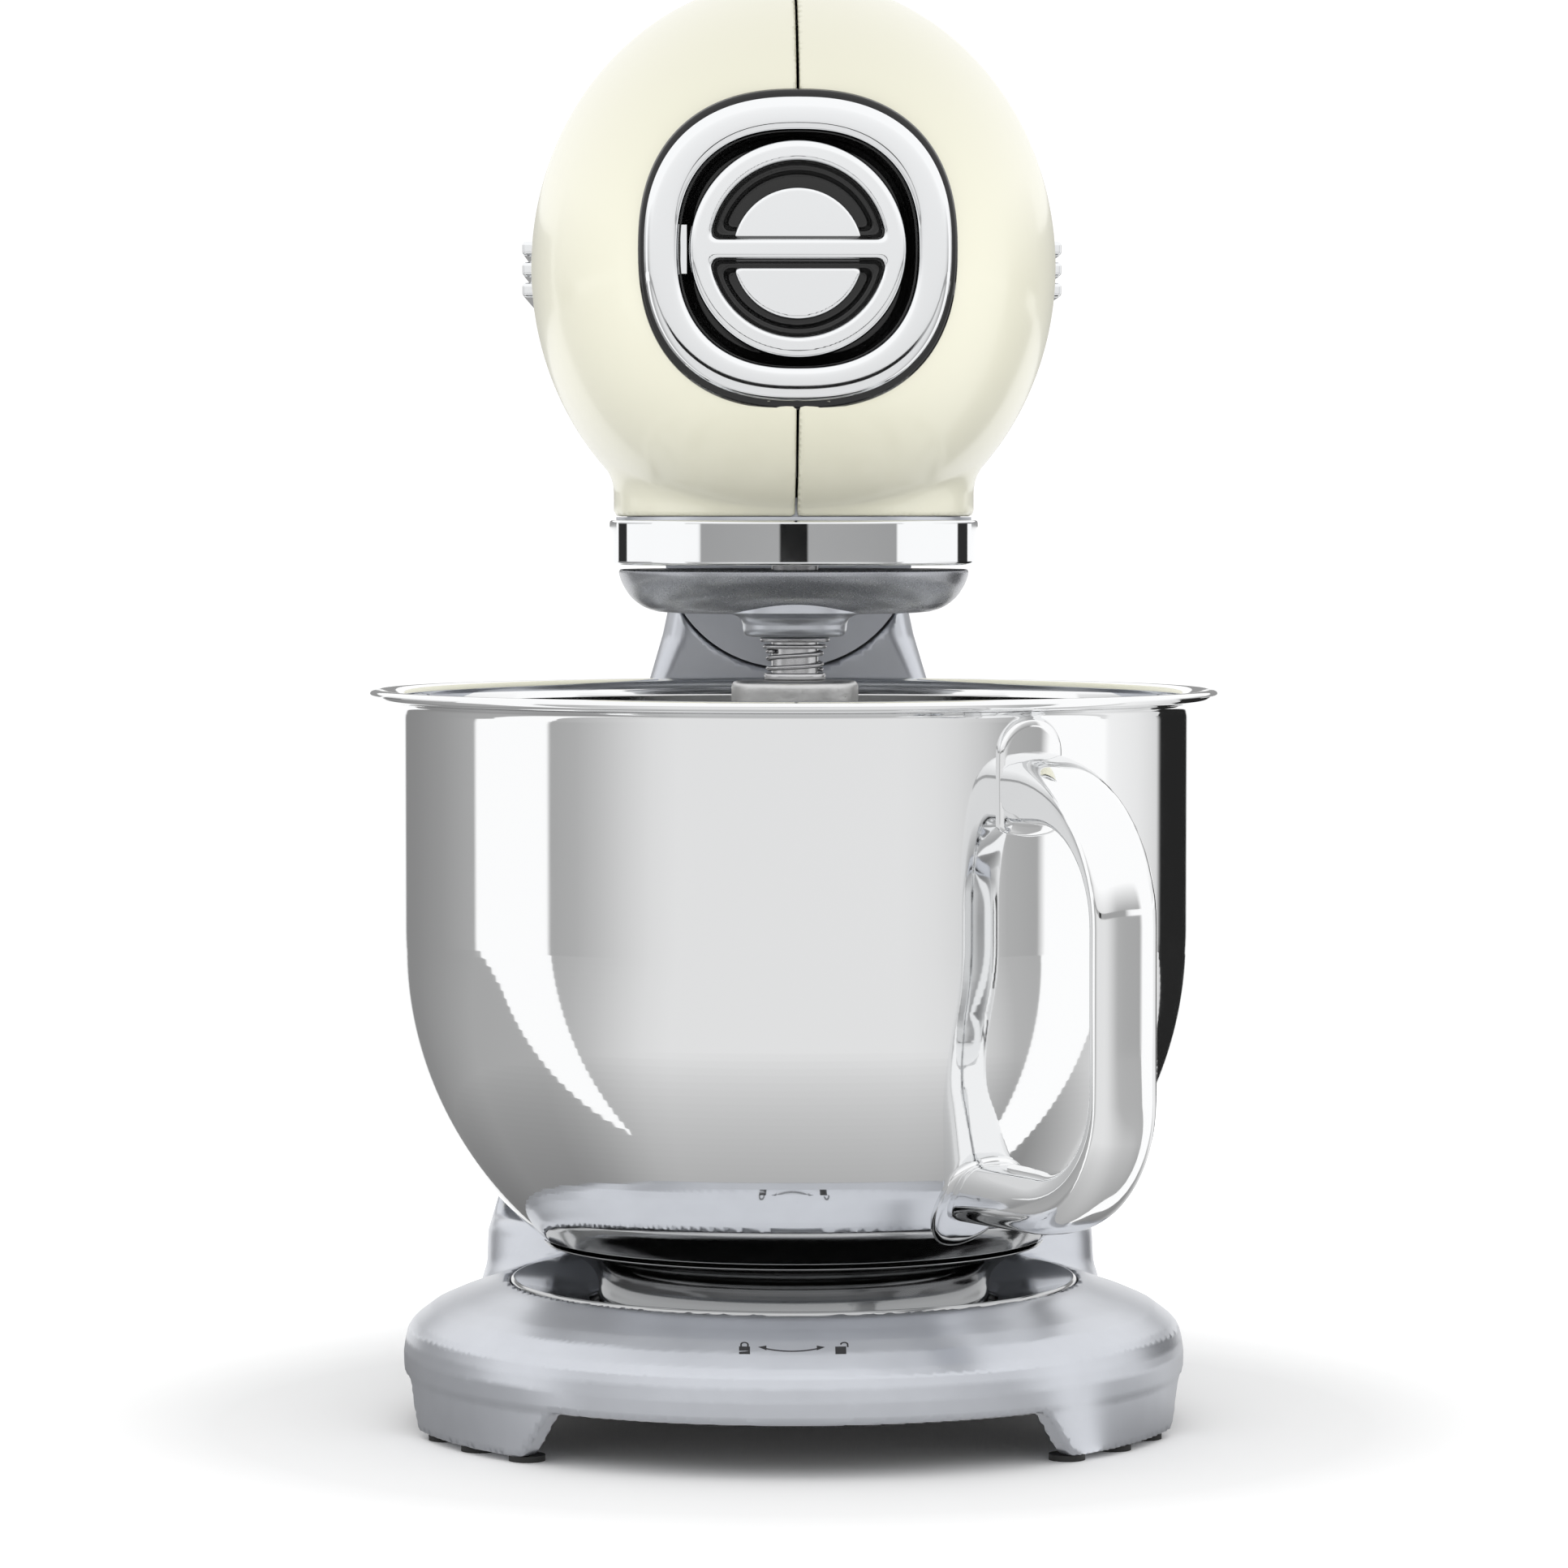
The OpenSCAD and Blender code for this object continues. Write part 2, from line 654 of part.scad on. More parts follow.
module motor_windings() place() color([0.72, 0.42, 0.2]) {
    translate([0, motor_y, 0]) {
        for (s = [-1, 1])
            box(s > 0 ? [26.2, 31.8] : [-31.8, -26.2], [-11.8, 11.8], [stator_z, stator_z + stator_h]);
        translate([0, 0, stator_z - 7]) tube(34, 25, 7);
        translate([0, 0, stator_z + stator_h]) tube(34, 25, 7);
    }
}

bracket_z = 345;
module motor_bracket() place() color([0.66, 0.67, 0.69]) {
    difference() {
        union() {
            for (x = [-29, 29], y = [-29, 29])
                translate([x, motor_y + y, plate_z + plate_t]) cylinder(r = 3.4, h = bracket_z - plate_z - plate_t);
            translate([0, motor_y, bracket_z]) hull()
                for (x = [-29, 29], y = [-29, 29]) translate([x, y, 0]) cylinder(r = 4, h = 4, $fn = hull_fn);
            // arms that hold the brushes
            for (s = [-1, 1]) {
                box(s > 0 ? [14, 24] : [-24, -14], [motor_y - 5, motor_y + 5], [322.5, 334]);
                box(s > 0 ? [20, 24] : [-24, -20], [motor_y - 5, motor_y + 5], [322.5, 335.5]);
                box(s > 0 ? [20, 24] : [-24, -20], [motor_y + 1, motor_y + 32], [332, 335.5]);
                box(s > 0 ? [20, 31] : [-31, -20], [motor_y + 27, motor_y + 31], [332, 335.5]);
            }
            // posts for the speed board
            for (y = [motor_y - 20, motor_y + 20]) translate([0, y, bracket_z + 4]) cylinder(r = 3, h = 9);
        }
        translate([0, motor_y, bracket_z - 1]) cylinder(r = 9, h = 6);
        for (s = [-1, 1]) box(s > 0 ? [0, 22] : [-22, 0], [motor_y - 3.1, motor_y + 3.1], [325, 331.6]);
    }
}

module carbon_brushes() place() color([0.15, 0.15, 0.15]) {
    for (s = [-1, 1])
        difference() {
            box(s > 0 ? [8, 21.8] : [-21.8, -8], [motor_y - 3, motor_y + 3], [325.1, 331.5]);
            translate([0, motor_y, 320]) cylinder(r = 10.1, h = 20);
        }
}

module pto_housing() place() color([0.66, 0.67, 0.69]) {
    difference() {
        union() {
            disc_y(19, -69, -28, hub_z);
            box([-8, 8], [-34, -28], [plate_z + plate_t, hub_z - 12]);
        }
        disc_y(13, -80, -20, hub_z);
    }
}

// ---------------------------------------------------------------- hub at the nose

module squircle_y(w, h, y0, y1, power = 2.6, n = 96) {
    translate([0, y1, hub_z]) rotate([90, 0, 0]) linear_extrude(y1 - y0)
        polygon(superellipse(w, h, power, n));
}

module hub_gasket() place() color([0.05, 0.05, 0.05]) {
    difference() {
        squircle_y(gasket_half, gasket_half, -81, -66.4);
        squircle_y(bezel_half + 0.1, bezel_half + 0.1, -90, -60);
    }
}

module hub_bezel() place() color([0.88, 0.89, 0.9]) {
    difference() {
        union() {
            squircle_y(bezel_half, bezel_half, -82, -72);
            squircle_y(bezel_half - 1.6, bezel_half - 1.6, hub_face_y, -81.9);
        }
        squircle_y(bezel_in_w, bezel_in_h, -90, -60);
    }
}

// Black cup behind the bezel and the knob
module hub_recess() place() color([0.06, 0.06, 0.06]) {
    difference() {
        squircle_y(bezel_half, bezel_half, -71.9, -69.2);
        disc_y(6.5, -90, -60, hub_z);
    }
}

module hub_stop() place() color([0.86, 0.87, 0.88]) {
    box([-28.9, -27.4], [-80, -71.9], [hub_z - 6, hub_z + 6]);
}

// Round grip that twists: a rim and a bar across, with two finger hollows
module hub_knob() place() color([0.88, 0.89, 0.9]) {
    difference() {
        union() {
            disc_y(knob_r, hub_face_y, -72.3, hub_z);
            disc_y(6, -73, -67, hub_z);
        }
        for (s = [-1, 1]) intersection() {
            disc_y(knob_dish_r, -90, -75.5, hub_z);
            box([-30, 30], [-90, -75.5], s > 0 ? [hub_z + 2.9, hub_z + 30] : [hub_z - 30, hub_z - 2.9]);
        }
    }
}

// ---------------------------------------------------------------- speed slide and side trims

module speed_trim() place() color([0.84, 0.85, 0.86]) {
    difference() {
        box([-trim_half_w, trim_half_w], trim_y, [trim_z, 375.2]);
        box([-2.8, 2.8], [trim_y[0] + 10, trim_y[1] - 10], [360, 390]);
    }
}

lever_y = 126;
module speed_lever() place() color([0.87, 0.88, 0.89]) {
    box([-2.3, 2.3], [lever_y - 4, lever_y + 4], [366.4, 376]);
    hull() {
        box([-8, 8], [lever_y - 8, lever_y + 8], [375.5, 377.5]);
        box([-6.5, 6.5], [lever_y - 5, lever_y + 5], [377.5, 381]);
    }
}

module speed_board() place() color([0.1, 0.35, 0.2]) {
    box([-14, 14], [28, 142], [358, 359.6]);
}

module speed_sensor() place() color([0.25, 0.25, 0.27]) {
    difference() {
        box([-5, 5], [32, 138], [359.6, 366]);
        box([-2.6, 2.6], [36, 134], [364, 370]);
    }
}

// Three speed lines on each side of the head
module side_trim() {
    for (k = [-1 : 1])
        box([68.6, 71.8], [36, 126], [hub_z + k * 5.5 - 1.9, hub_z + k * 5.5 + 1.9]);
    box([68.6, 69.6], [38, 124], [hub_z - 6, hub_z + 6]);
}

module side_trim_right() place() color([0.88, 0.89, 0.9]) side_trim();

module side_trim_left() place() color([0.88, 0.89, 0.9]) mirror([1, 0, 0]) side_trim();

module frame_screws() place() color([0.75, 0.75, 0.77]) {
    for (p = plate_posts) translate([p[0], p[1], 0]) {
        translate([0, 0, plate_z + plate_t]) cylinder(r = 3.2, h = 2.4);
        translate([0, 0, 257]) cylinder(r = 1.5, h = plate_z + plate_t - 257);
    }
}

// ---------------------------------------------------------------- planetary drive

module planet_carrier() place() color([0.5, 0.51, 0.54]) {
    difference() {
        union() {
            rotate_extrude($fn = smooth) polygon(concat(
                [[0, carrier_z], [34, carrier_z]],
                arc(34.5, carrier_z + 9, 9, -90, -20, 8),
                [[44.6, carrier_z + 9.4], [45.5, carrier_top_z - 0.8], [45, carrier_top_z], [0, carrier_top_z]]));
            translate([0, -planet_offset, boss_z]) cylinder(r = 13.3, h = 12);
        }
        translate([0, -planet_offset, boss_z - 1]) cylinder(r = tool_r + run, h = 30);
        translate([0, 0, 214]) cylinder(r = output_r, h = 30);
    }
}

module output_shaft() place() color([0.7, 0.71, 0.73]) {
    translate([0, 0, 214]) cylinder(r = output_r, h = 80);
}

module output_gear() place() color([0.62, 0.6, 0.52]) {
    difference() {
        translate([0, 0, 246]) spur(drive_module, 46, 7, 90, add = 0.8);
        translate([0, 0, 240]) cylinder(r = output_r, h = 20);
    }
}

// Mitre gear outline on the big end, drawn to a point at the apex
module bevel(first) {
    m = 2 * bevel_r / bevel_teeth;
    k = 0.5;
    linear_extrude(bevel_r * (1 - k), scale = k)
        rotate(first) polygon(gear_points(m, bevel_teeth, bevel_r - 1.2 * m, bevel_r + 0.8 * m, 0.5));
}

module bevel_drive_gear() place() color([0.62, 0.6, 0.52]) {
    difference() {
        translate([0, 0, hub_z - bevel_r]) bevel(270);
        translate([0, 0, 270]) cylinder(r = output_r, h = 60);
    }
}

module tool_shaft() place() color([0.74, 0.75, 0.76]) {
    translate([0, -planet_offset, 0]) difference() {
        union() {
            translate([0, 0, 172]) cylinder(r = tool_r, h = 224 - 172);
            translate([0, 0, 223.9]) cylinder(r = 5, h = 10.3);
        }
        disc_x(1.5, -20, 20, 0, 181);
    }
}

module planet_pinion() place() color([0.62, 0.6, 0.52]) {
    translate([0, -planet_offset, 224.4]) difference() {
        spur(planet_module, planet_teeth, 9.4, 270);
        translate([0, 0, -1]) cylinder(r = 5, h = 12);
    }
}

module cross_pin() place() color([0.7, 0.7, 0.72]) {
    translate([0, -planet_offset, 0]) disc_x(1.5, -10, 10, 0, 181);
}

module upper_washers() place() color([0.72, 0.73, 0.74]) {
    translate([0, -planet_offset, 204.2]) tube(8.9, tool_r, 1.2);
    translate([0, -planet_offset, 202.4]) tube(8.2, tool_r, 1.2);
}

module tool_spring() place() color([0.55, 0.55, 0.56]) {
    translate([0, -planet_offset, 197.1]) helix(6.9, 0.6, 4.5, 2.5);
}

// ---------------------------------------------------------------- beater

hub_top_z = 194.3;
beater_bottom_z = 55;
beater_w = 72;
module lower_washer() place() color([0.72, 0.73, 0.74]) {
    translate([0, -planet_offset, hub_top_z + 0.1]) tube(7.9, tool_r + 0.4, 1.8);
}

// Half of the beater's outline, kept clear of the bowl as it sweeps round, inset by a frame width
function beater_half(inset) =
    let (reach = bowl_r - bowl_wall - inset, shift = planet_offset + 2.5,
         low = beater_bottom_z + inset, side = beater_w - inset,
         a0 = -asin((bowl_turn_z - low) / reach), a1 = -acos((side + shift) / reach))
    concat([[0, low]],
        [for (i = [0 : 8]) let (a = a0 + (a1 - a0) * i / 8)
            [reach * cos(a) - shift, bowl_turn_z + reach * sin(a)]],
        [[side, 132 - inset * 0.2], [side - 8, 146 - inset * 0.6], [side - 24, 158 - inset * 0.9],
         [0.28 * side, 170 - inset * 1.1], [0, 174 - inset * 1.2]]);

module beater_sheet() {
    half = beater_half(0);
    window = [for (p = beater_half(9)) if (p[0] > 4.5) p];
    difference() {
        polygon(concat(half, [for (i = [len(half) - 2 : -1 : 1]) [-half[i][0], half[i][1]]]));
        for (s = [-1, 1]) {
            polygon(concat([[s * 4.5, beater_bottom_z + 9]],
                           [for (p = window) [s * p[0], p[1]]],
                           [[s * 4.5, 156]]));
        }
    }
    // two slanting ribs each side of the middle
    for (s = [-1, 1]) polygon([[s * 2, 118], [s * 2, 108], [s * 66, 84], [s * 68, 93]]);
}

module flat_beater() place() color([0.72, 0.73, 0.74]) {
    translate([0, -planet_offset, 0]) difference() {
        union() {
            translate([0, 4.5, 0]) rotate([90, 0, 0]) linear_extrude(9) beater_sheet();
            translate([0, 0, 164]) cylinder(r = 16.3, h = hub_top_z - 164);
        }
        translate([0, 0, 167.6]) cylinder(r = tool_r + run, h = 40);
        // L-shaped slot for the cross pin: down from the top, round, and up to its notch
        box([-10.6, 10.6], [-1.8, 1.8], [173.6, 182.8]);
        translate([0, 0, 173.6]) {
            rotate_extrude(angle = 70) square([10.6, 3.8]);
            rotate(180) rotate_extrude(angle = 70) square([10.6, 3.8]);
        }
        rotate(62) box([-10.6, 10.6], [-1.8, 1.8], [173.6, 210]);
    }
}

// ---------------------------------------------------------------- reduction stages and motor

module layshaft() place() color([0.7, 0.71, 0.73]) {
    translate([0, lay_y, 0]) {
        translate([0, 0, 236.2]) cylinder(r = 4, h = 32.6);
        translate([0, 0, 245]) spur(drive_module, 14, 9.6, 270 + 180 / 14);
    }
}

module layshaft_gear() place() color([0.62, 0.6, 0.52]) {
    translate([0, lay_y, 0]) difference() {
        translate([0, 0, 256]) spur(drive_module, 48, 6, 90, add = 0.8);
        translate([0, 0, 250]) cylinder(r = 4, h = 20);
    }
}

module rotor_shaft() place() color([0.7, 0.71, 0.73]) {
    translate([0, motor_y, 0]) {
        translate([0, 0, 254.4]) cylinder(r = 4, h = 94.6);
        translate([0, 0, 255]) spur(drive_module, 12, 8.4, 270 + 180 / 12);
    }
}

module rotor_core() place() color([0.4, 0.41, 0.43]) {
    translate([0, motor_y, stator_z]) difference() {
        cylinder(r = 23, h = stator_h);
        translate([0, 0, -1]) cylinder(r = 4, h = stator_h + 2);
        for (a = [0 : 30 : 330]) rotate(a) translate([20, -1.2, -1]) cube([5, 2.4, stator_h + 2]);
    }
}

module commutator() place() color([0.75, 0.45, 0.22]) {
    translate([0, motor_y, 321]) tube(10, 4, 12);
}

module cooling_fan() place() color([0.15, 0.15, 0.16]) {
    translate([0, motor_y, 0]) {
        difference() {
            union() {
                translate([0, 0, 337]) cylinder(r = 26, h = 1.6);
                translate([0, 0, 335.8]) cylinder(r = 7, h = 8);
                for (a = [0 : 45 : 315]) rotate(a) box([6, 26], [-0.7, 0.7], [338, 343.4]);
            }
            translate([0, 0, 330]) cylinder(r = 4, h = 20);
        }
    }
}

// Shaft of the front power take-off: mitre gear at the back, square socket at the front
module pto_shaft() place() color([0.7, 0.71, 0.73]) {
    translate([0, 0, hub_z]) rotate([-90, 0, 0]) {
        translate([0, 0, -bevel_r]) bevel(90 + 180 / bevel_teeth);
        difference() {
            translate([0, 0, -66]) cylinder(r = 8, h = 66 - bevel_r + 0.2);
            translate([-4.8, -4.8, -67]) cube([9.6, 9.6, 22]);
        }
    }
}

// ---------------------------------------------------------------- nodes

stand_casting();
bottom_plate();
rubber_feet();
bottom_screws();
bowl_seat();
seat_screws();
hinge_pin();
cable_gland();
power_board();
lock_guide();
lock_button();
lock_rod();
lock_spring();
bowl_shell();
bowl_foot();
bowl_handle();
head_shell_left();
head_shell_right();
head_frame();
chrome_band();
ring_gear();
gearbox_plate();
bearings();
motor_stator();
motor_windings();
motor_bracket();
carbon_brushes();
pto_housing();
hub_gasket();
hub_bezel();
hub_recess();
hub_stop();
speed_trim();
speed_board();
speed_sensor();
side_trim_left();
side_trim_right();
frame_screws();
planet_carrier();
output_shaft();
output_gear();
bevel_drive_gear();
tool_shaft();
planet_pinion();
cross_pin();
upper_washers();
tool_spring();
flat_beater();
lower_washer();
layshaft();
layshaft_gear();
rotor_shaft();
rotor_core();
commutator();
cooling_fan();
pto_shaft();
hub_knob();
speed_lever();
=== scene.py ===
"""Tilt-head stand mixer: fine surfaces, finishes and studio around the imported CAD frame."""

import json
import math

import bpy
import numpy as np
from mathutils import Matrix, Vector


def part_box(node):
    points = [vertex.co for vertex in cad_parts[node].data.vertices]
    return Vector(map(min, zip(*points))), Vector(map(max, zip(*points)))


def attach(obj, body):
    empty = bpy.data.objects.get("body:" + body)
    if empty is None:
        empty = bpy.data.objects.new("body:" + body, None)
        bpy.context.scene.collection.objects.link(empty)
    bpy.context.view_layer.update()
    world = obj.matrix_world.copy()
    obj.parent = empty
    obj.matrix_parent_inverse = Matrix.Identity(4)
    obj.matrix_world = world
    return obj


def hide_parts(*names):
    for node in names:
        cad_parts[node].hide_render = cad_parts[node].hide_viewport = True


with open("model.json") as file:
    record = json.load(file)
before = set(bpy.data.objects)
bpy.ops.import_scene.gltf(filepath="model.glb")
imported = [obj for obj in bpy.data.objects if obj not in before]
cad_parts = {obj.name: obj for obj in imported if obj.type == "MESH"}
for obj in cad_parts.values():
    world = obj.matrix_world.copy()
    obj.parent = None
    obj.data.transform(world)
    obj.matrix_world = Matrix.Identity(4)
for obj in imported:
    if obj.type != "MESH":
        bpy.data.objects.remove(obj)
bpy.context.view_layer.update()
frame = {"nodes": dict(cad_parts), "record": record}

MM = 0.001


# ---------------------------------------------------------------- places from the frame, in mm


def box_mm(node):
    low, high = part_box(node)
    return np.array(low) / MM, np.array(high) / MM


def centre_mm(node):
    low, high = box_mm(node)
    return (low + high) / 2


AXIS_Y = float(centre_mm("bowl_seat")[1])
SHELL_LOW, SHELL_HIGH = box_mm("head_shell_right")
HEAD_TOP = 376.0
HEAD_HALF_W = float(SHELL_HIGH[0])
HEAD_HALF_H = 75.0
HEAD_Z = HEAD_TOP - HEAD_HALF_H
HEAD_CUT_Z = float(SHELL_LOW[2])
TAIL_U = float(SHELL_HIGH[1]) - AXIS_Y
HUB_Z = float(centre_mm("hub_knob")[2])
KNOB_FRONT_U = float(box_mm("hub_knob")[0][1]) - AXIS_Y
TOOL_U = float(centre_mm("tool_shaft")[1]) - AXIS_Y
RIM_R = float(box_mm("bowl_shell")[1][0])
RIM_Z = float(box_mm("bowl_shell")[1][2])
HINGE_U = float(centre_mm("hinge_pin")[1]) - AXIS_Y
HINGE_Z = float(centre_mm("hinge_pin")[2])
LEVER_LOW, LEVER_HIGH = box_mm("speed_lever")
HANDLE_ANGLE = 33.0

BOWL_R = 104.5
BOWL_TURN_Z = 130.0
BOWL_WALL = 1.0
NECK_R = 46.8
SEAM = 0.6


# ---------------------------------------------------------------- mesh tools


def new_object(name, verts, faces, smooth=True):
    mesh = bpy.data.meshes.new(name)
    mesh.from_pydata([tuple(float(c) * MM for c in v) for v in verts], [], [tuple(f) for f in faces])
    mesh.validate()
    mesh.update()
    if smooth:
        mesh.shade_smooth()
    obj = bpy.data.objects.new(name, mesh)
    bpy.context.scene.collection.objects.link(obj)
    return obj


def at_axis(points, u=0.0):
    """Points drawn about an upright axis u behind the bowl's, carried to the shared frame."""
    return np.asarray(points, float) + np.array([0.0, AXIS_Y + u, 0.0])


def loft(name, rings, closed_rings=False, caps=(True, True), smooth=True):
    """Joins rings with the same number of points. closed_rings joins the last ring to the first."""
    rings = [np.asarray(r, float) for r in rings]
    n = len(rings[0])
    verts = np.concatenate(rings)
    faces = []
    count = len(rings)
    for i in range(count if closed_rings else count - 1):
        a, b = i * n, ((i + 1) % count) * n
        faces += [(a + j, a + (j + 1) % n, b + (j + 1) % n, b + j) for j in range(n)]
    if not closed_rings:
        if caps[0]:
            faces.append(tuple(range(n - 1, -1, -1)))
        if caps[1]:
            faces.append(tuple((count - 1) * n + j for j in range(n)))
    return new_object(name, verts, faces, smooth)


def crisp(profile, closed, near=0.22):
    """The profile with extra points near the ends of its long edges, so that flats shade flat."""
    points = [np.array(p, float) for p in profile]
    out = []
    pairs = list(zip(points, points[1:])) + ([(points[-1], points[0])] if closed else [])
    for a, b in pairs:
        out.append(tuple(a))
        length = np.linalg.norm(b - a)
        if length > 5 * near:
            out += [tuple(a + (b - a) * near / length), tuple(b - (b - a) * near / length)]
    return out + ([] if closed else [tuple(points[-1])])


def lathe(name, profile, u=0.0, segments=160, closed=False):
    """Turns a profile of (radius, height) round an upright axis. Radius 0 at an end closes it."""
    profile = crisp(profile, closed)
    verts, faces, rows = [], [], []
    for r, z in profile:
        if r < 1e-6:
            rows.append([len(verts)])
            verts.append((0, 0, z))
        else:
            rows.append(list(range(len(verts), len(verts) + segments)))
            verts += [
                (r * math.cos(t), r * math.sin(t), z)
                for t in np.linspace(0, 2 * math.pi, segments, endpoint=False)
            ]
    pairs = list(zip(rows, rows[1:])) + ([(rows[-1], rows[0])] if closed else [])
    for a, b in pairs:
        for j in range(segments):
            k = (j + 1) % segments
            if len(a) == 1:
                faces.append((a[0], b[k], b[j]))
            elif len(b) == 1:
                faces.append((a[j], a[k], b[0]))
            else:
                faces.append((a[j], a[k], b[k], b[j]))
    return new_object(name, at_axis(verts, u), faces)


def arc(cx, cy, r, a0, a1, n):
    return [
        (cx + r * math.cos(math.radians(a)), cy + r * math.sin(math.radians(a)))
        for a in np.linspace(a0, a1, n + 1)
    ]


def smooth_path(points, per_span=8, closed=False):
    """Catmull-Rom points through the given ones."""
    p = [np.array(q, float) for q in points]
    n = len(p)
    out = []
    spans = n if closed else n - 1
    for i in range(spans):
        if closed:
            a, b, c, d = p[(i - 1) % n], p[i], p[(i + 1) % n], p[(i + 2) % n]
        else:
            a, b, c, d = p[max(i - 1, 0)], p[i], p[i + 1], p[min(i + 2, n - 1)]
        for k in range(per_span):
            t = k / per_span
            out.append(
                0.5
                * (2 * b + (c - a) * t + (2 * a - 5 * b + 4 * c - d) * t**2 + (3 * b - a - 3 * c + d) * t**3)
            )
    if not closed:
        out.append(p[-1])
    return out


def squircle(w, h, power=2.6, n=128):
    t = np.linspace(0, 2 * math.pi, n, endpoint=False)
    c, s = np.cos(t), np.sin(t)
    return np.stack(
        [w * np.sign(c) * np.abs(c) ** (2 / power), h * np.sign(s) * np.abs(s) ** (2 / power)], 1
    )


def even_loop(points, n):
    """The same closed loop with n points at even spacing."""
    p = np.vstack([points, points[:1]])
    run = np.concatenate([[0], np.cumsum(np.linalg.norm(np.diff(p, axis=0), axis=1))])
    t = np.linspace(0, run[-1], n, endpoint=False)
    return np.stack([np.interp(t, run, p[:, i]) for i in range(p.shape[1])], 1)


def face_ring(name, outline, profile, n=160, closed=True):
    """A ring round the hub's axis. outline(inset) is its shape, profile the (inset, u) points round it."""
    rings = []
    for inset, u in crisp(profile, closed):
        loop = even_loop(outline(inset), n)
        rings.append(np.stack([loop[:, 0], np.full(n, AXIS_Y + u), HUB_Z + loop[:, 1]], 1))
    return loft(name, rings, closed_rings=closed)


# ---------------------------------------------------------------- solids from distance fields


def smax(a, b, k):
    """The larger of two distances, with a fillet of about k where they meet."""
    h = np.maximum(k - np.abs(a - b), 0) / k
    return np.maximum(a, b) + h * h * k / 4


def smin(a, b, k):
    return -smax(-a, -b, k)


def cell(fine, coarse):
    return fine


def surface_net(field, low, high, step):
    """Vertices and quads of the surface where field is zero, on a grid between low and high, in mm."""
    axes = [np.arange(a, b + step, step, dtype=np.float64) for a, b in zip(low, high)]
    x, y, z = np.meshgrid(*axes, indexing="ij", sparse=True)
    value = np.broadcast_to(field(x, y, z), tuple(len(a) for a in axes)).astype(np.float32)
    inside = value < 0
    shape = tuple(s - 1 for s in value.shape)
    total = np.zeros(shape + (3,), np.float32)
    count = np.zeros(shape, np.int16)
    corners = [(i, j, k) for i in (0, 1) for j in (0, 1) for k in (0, 1)]

    def part(a, c):
        return a[c[0] : c[0] + shape[0], c[1] : c[1] + shape[1], c[2] : c[2] + shape[2]]

    for c in corners:
        for d in range(3):
            if c[d]:
                continue
            e = list(c)
            e[d] = 1
            cross = part(inside, c) != part(inside, e)
            va, vb = part(value, c)[cross], part(value, e)[cross]
            t = va / (va - vb)
            add = np.tile(np.array(c, np.float32), (len(t), 1))
            add[:, d] += t
            total[cross] += add
            count[cross] += 1
    active = count > 0
    index = np.full(shape, -1, np.int64)
    index[active] = np.arange(int(active.sum()))
    cells = np.argwhere(active).astype(np.float64)
    verts = np.array(low, float) + (cells + total[active] / count[active][:, None]) * step
    quads = []
    for d in range(3):
        e, f = [(1, 2), (2, 0), (0, 1)][d]
        here = [slice(None)] * 3
        there = [slice(None)] * 3
        here[d], there[d] = slice(0, -1), slice(1, None)
        for axis in (e, f):
            here[axis] = slice(1, -1)
            there[axis] = slice(1, -1)
        a, b = inside[tuple(here)], inside[tuple(there)]
        where = np.argwhere(a != b)
        flip = a[a != b]
        cell = where.copy()
        cell[:, e] += 1
        cell[:, f] += 1

        def at(de, df):
            q = cell.copy()
            q[:, e] -= de
            q[:, f] -= df
            return index[q[:, 0], q[:, 1], q[:, 2]]

        loop = np.stack([at(1, 1), at(0, 1), at(0, 0), at(1, 0)], 1)
        loop[~flip] = loop[~flip][:, ::-1]
        quads.append(loop)
    return verts, np.concatenate(quads)


def gradient(field, p, eps=0.02):
    """Slope of the field at each point."""
    g = np.zeros_like(p)
    for d in range(3):
        a, b = p.copy(), p.copy()
        a[:, d] += eps
        b[:, d] -= eps
        g[:, d] = (field(*a.T) - field(*b.T)) / (2 * eps)
    return g


def solid(name, field, low, high, step):
    """A closed mesh of a distance field in mm about the bowl's axis, its points drawn onto the surface."""
    verts, quads = surface_net(field, low, high, step)
    for _ in range(3):
        g = gradient(field, verts)
        size = np.maximum((g * g).sum(1), 0.05)
        move = -field(*verts.T)[:, None] * g / size[:, None]
        length = np.linalg.norm(move, axis=1, keepdims=True)
        verts += move * np.minimum(1, 0.5 * step / np.maximum(length, 1e-9))
    mesh = bpy.data.meshes.new(name)
    mesh.vertices.add(len(verts))
    mesh.vertices.foreach_set("co", (at_axis(verts) * MM).astype(np.float32).ravel())
    mesh.loops.add(quads.size)
    mesh.loops.foreach_set("vertex_index", quads.ravel().astype(np.int32))
    mesh.polygons.add(len(quads))
    mesh.polygons.foreach_set("loop_start", np.arange(0, quads.size, 4, dtype=np.int32))
    mesh.update(calc_edges=True)
    mesh.validate()
    mesh.shade_smooth()
    if len(mesh.vertices) == len(verts):
        g = gradient(field, verts, 0.25)
        g /= np.maximum(np.linalg.norm(g, axis=1, keepdims=True), 1e-9)
        mesh.normals_split_custom_set_from_vertices([tuple(v) for v in g])
    obj = bpy.data.objects.new(name, mesh)
    bpy.context.scene.collection.objects.link(obj)
    return obj


def rounded_box(x, y, z, centre, half, r):
    q = [np.abs(c - m) - (h - r) for c, m, h in zip((x, y, z), centre, half)]
    outside = np.sqrt(sum(np.maximum(v, 0) ** 2 for v in q))
    return outside + np.minimum(np.maximum(np.maximum(q[0], q[1]), q[2]), 0) - r


def rounded_rect(x, y, cx, cy, hx, hy, r):
    """Distance to an upright block's outline, with its centre, half sizes and corner radius."""
    qx, qy = np.abs(x - cx) - (hx - r), np.abs(y - cy) - (hy - r)
    return np.hypot(np.maximum(qx, 0), np.maximum(qy, 0)) + np.minimum(np.maximum(qx, qy), 0) - r


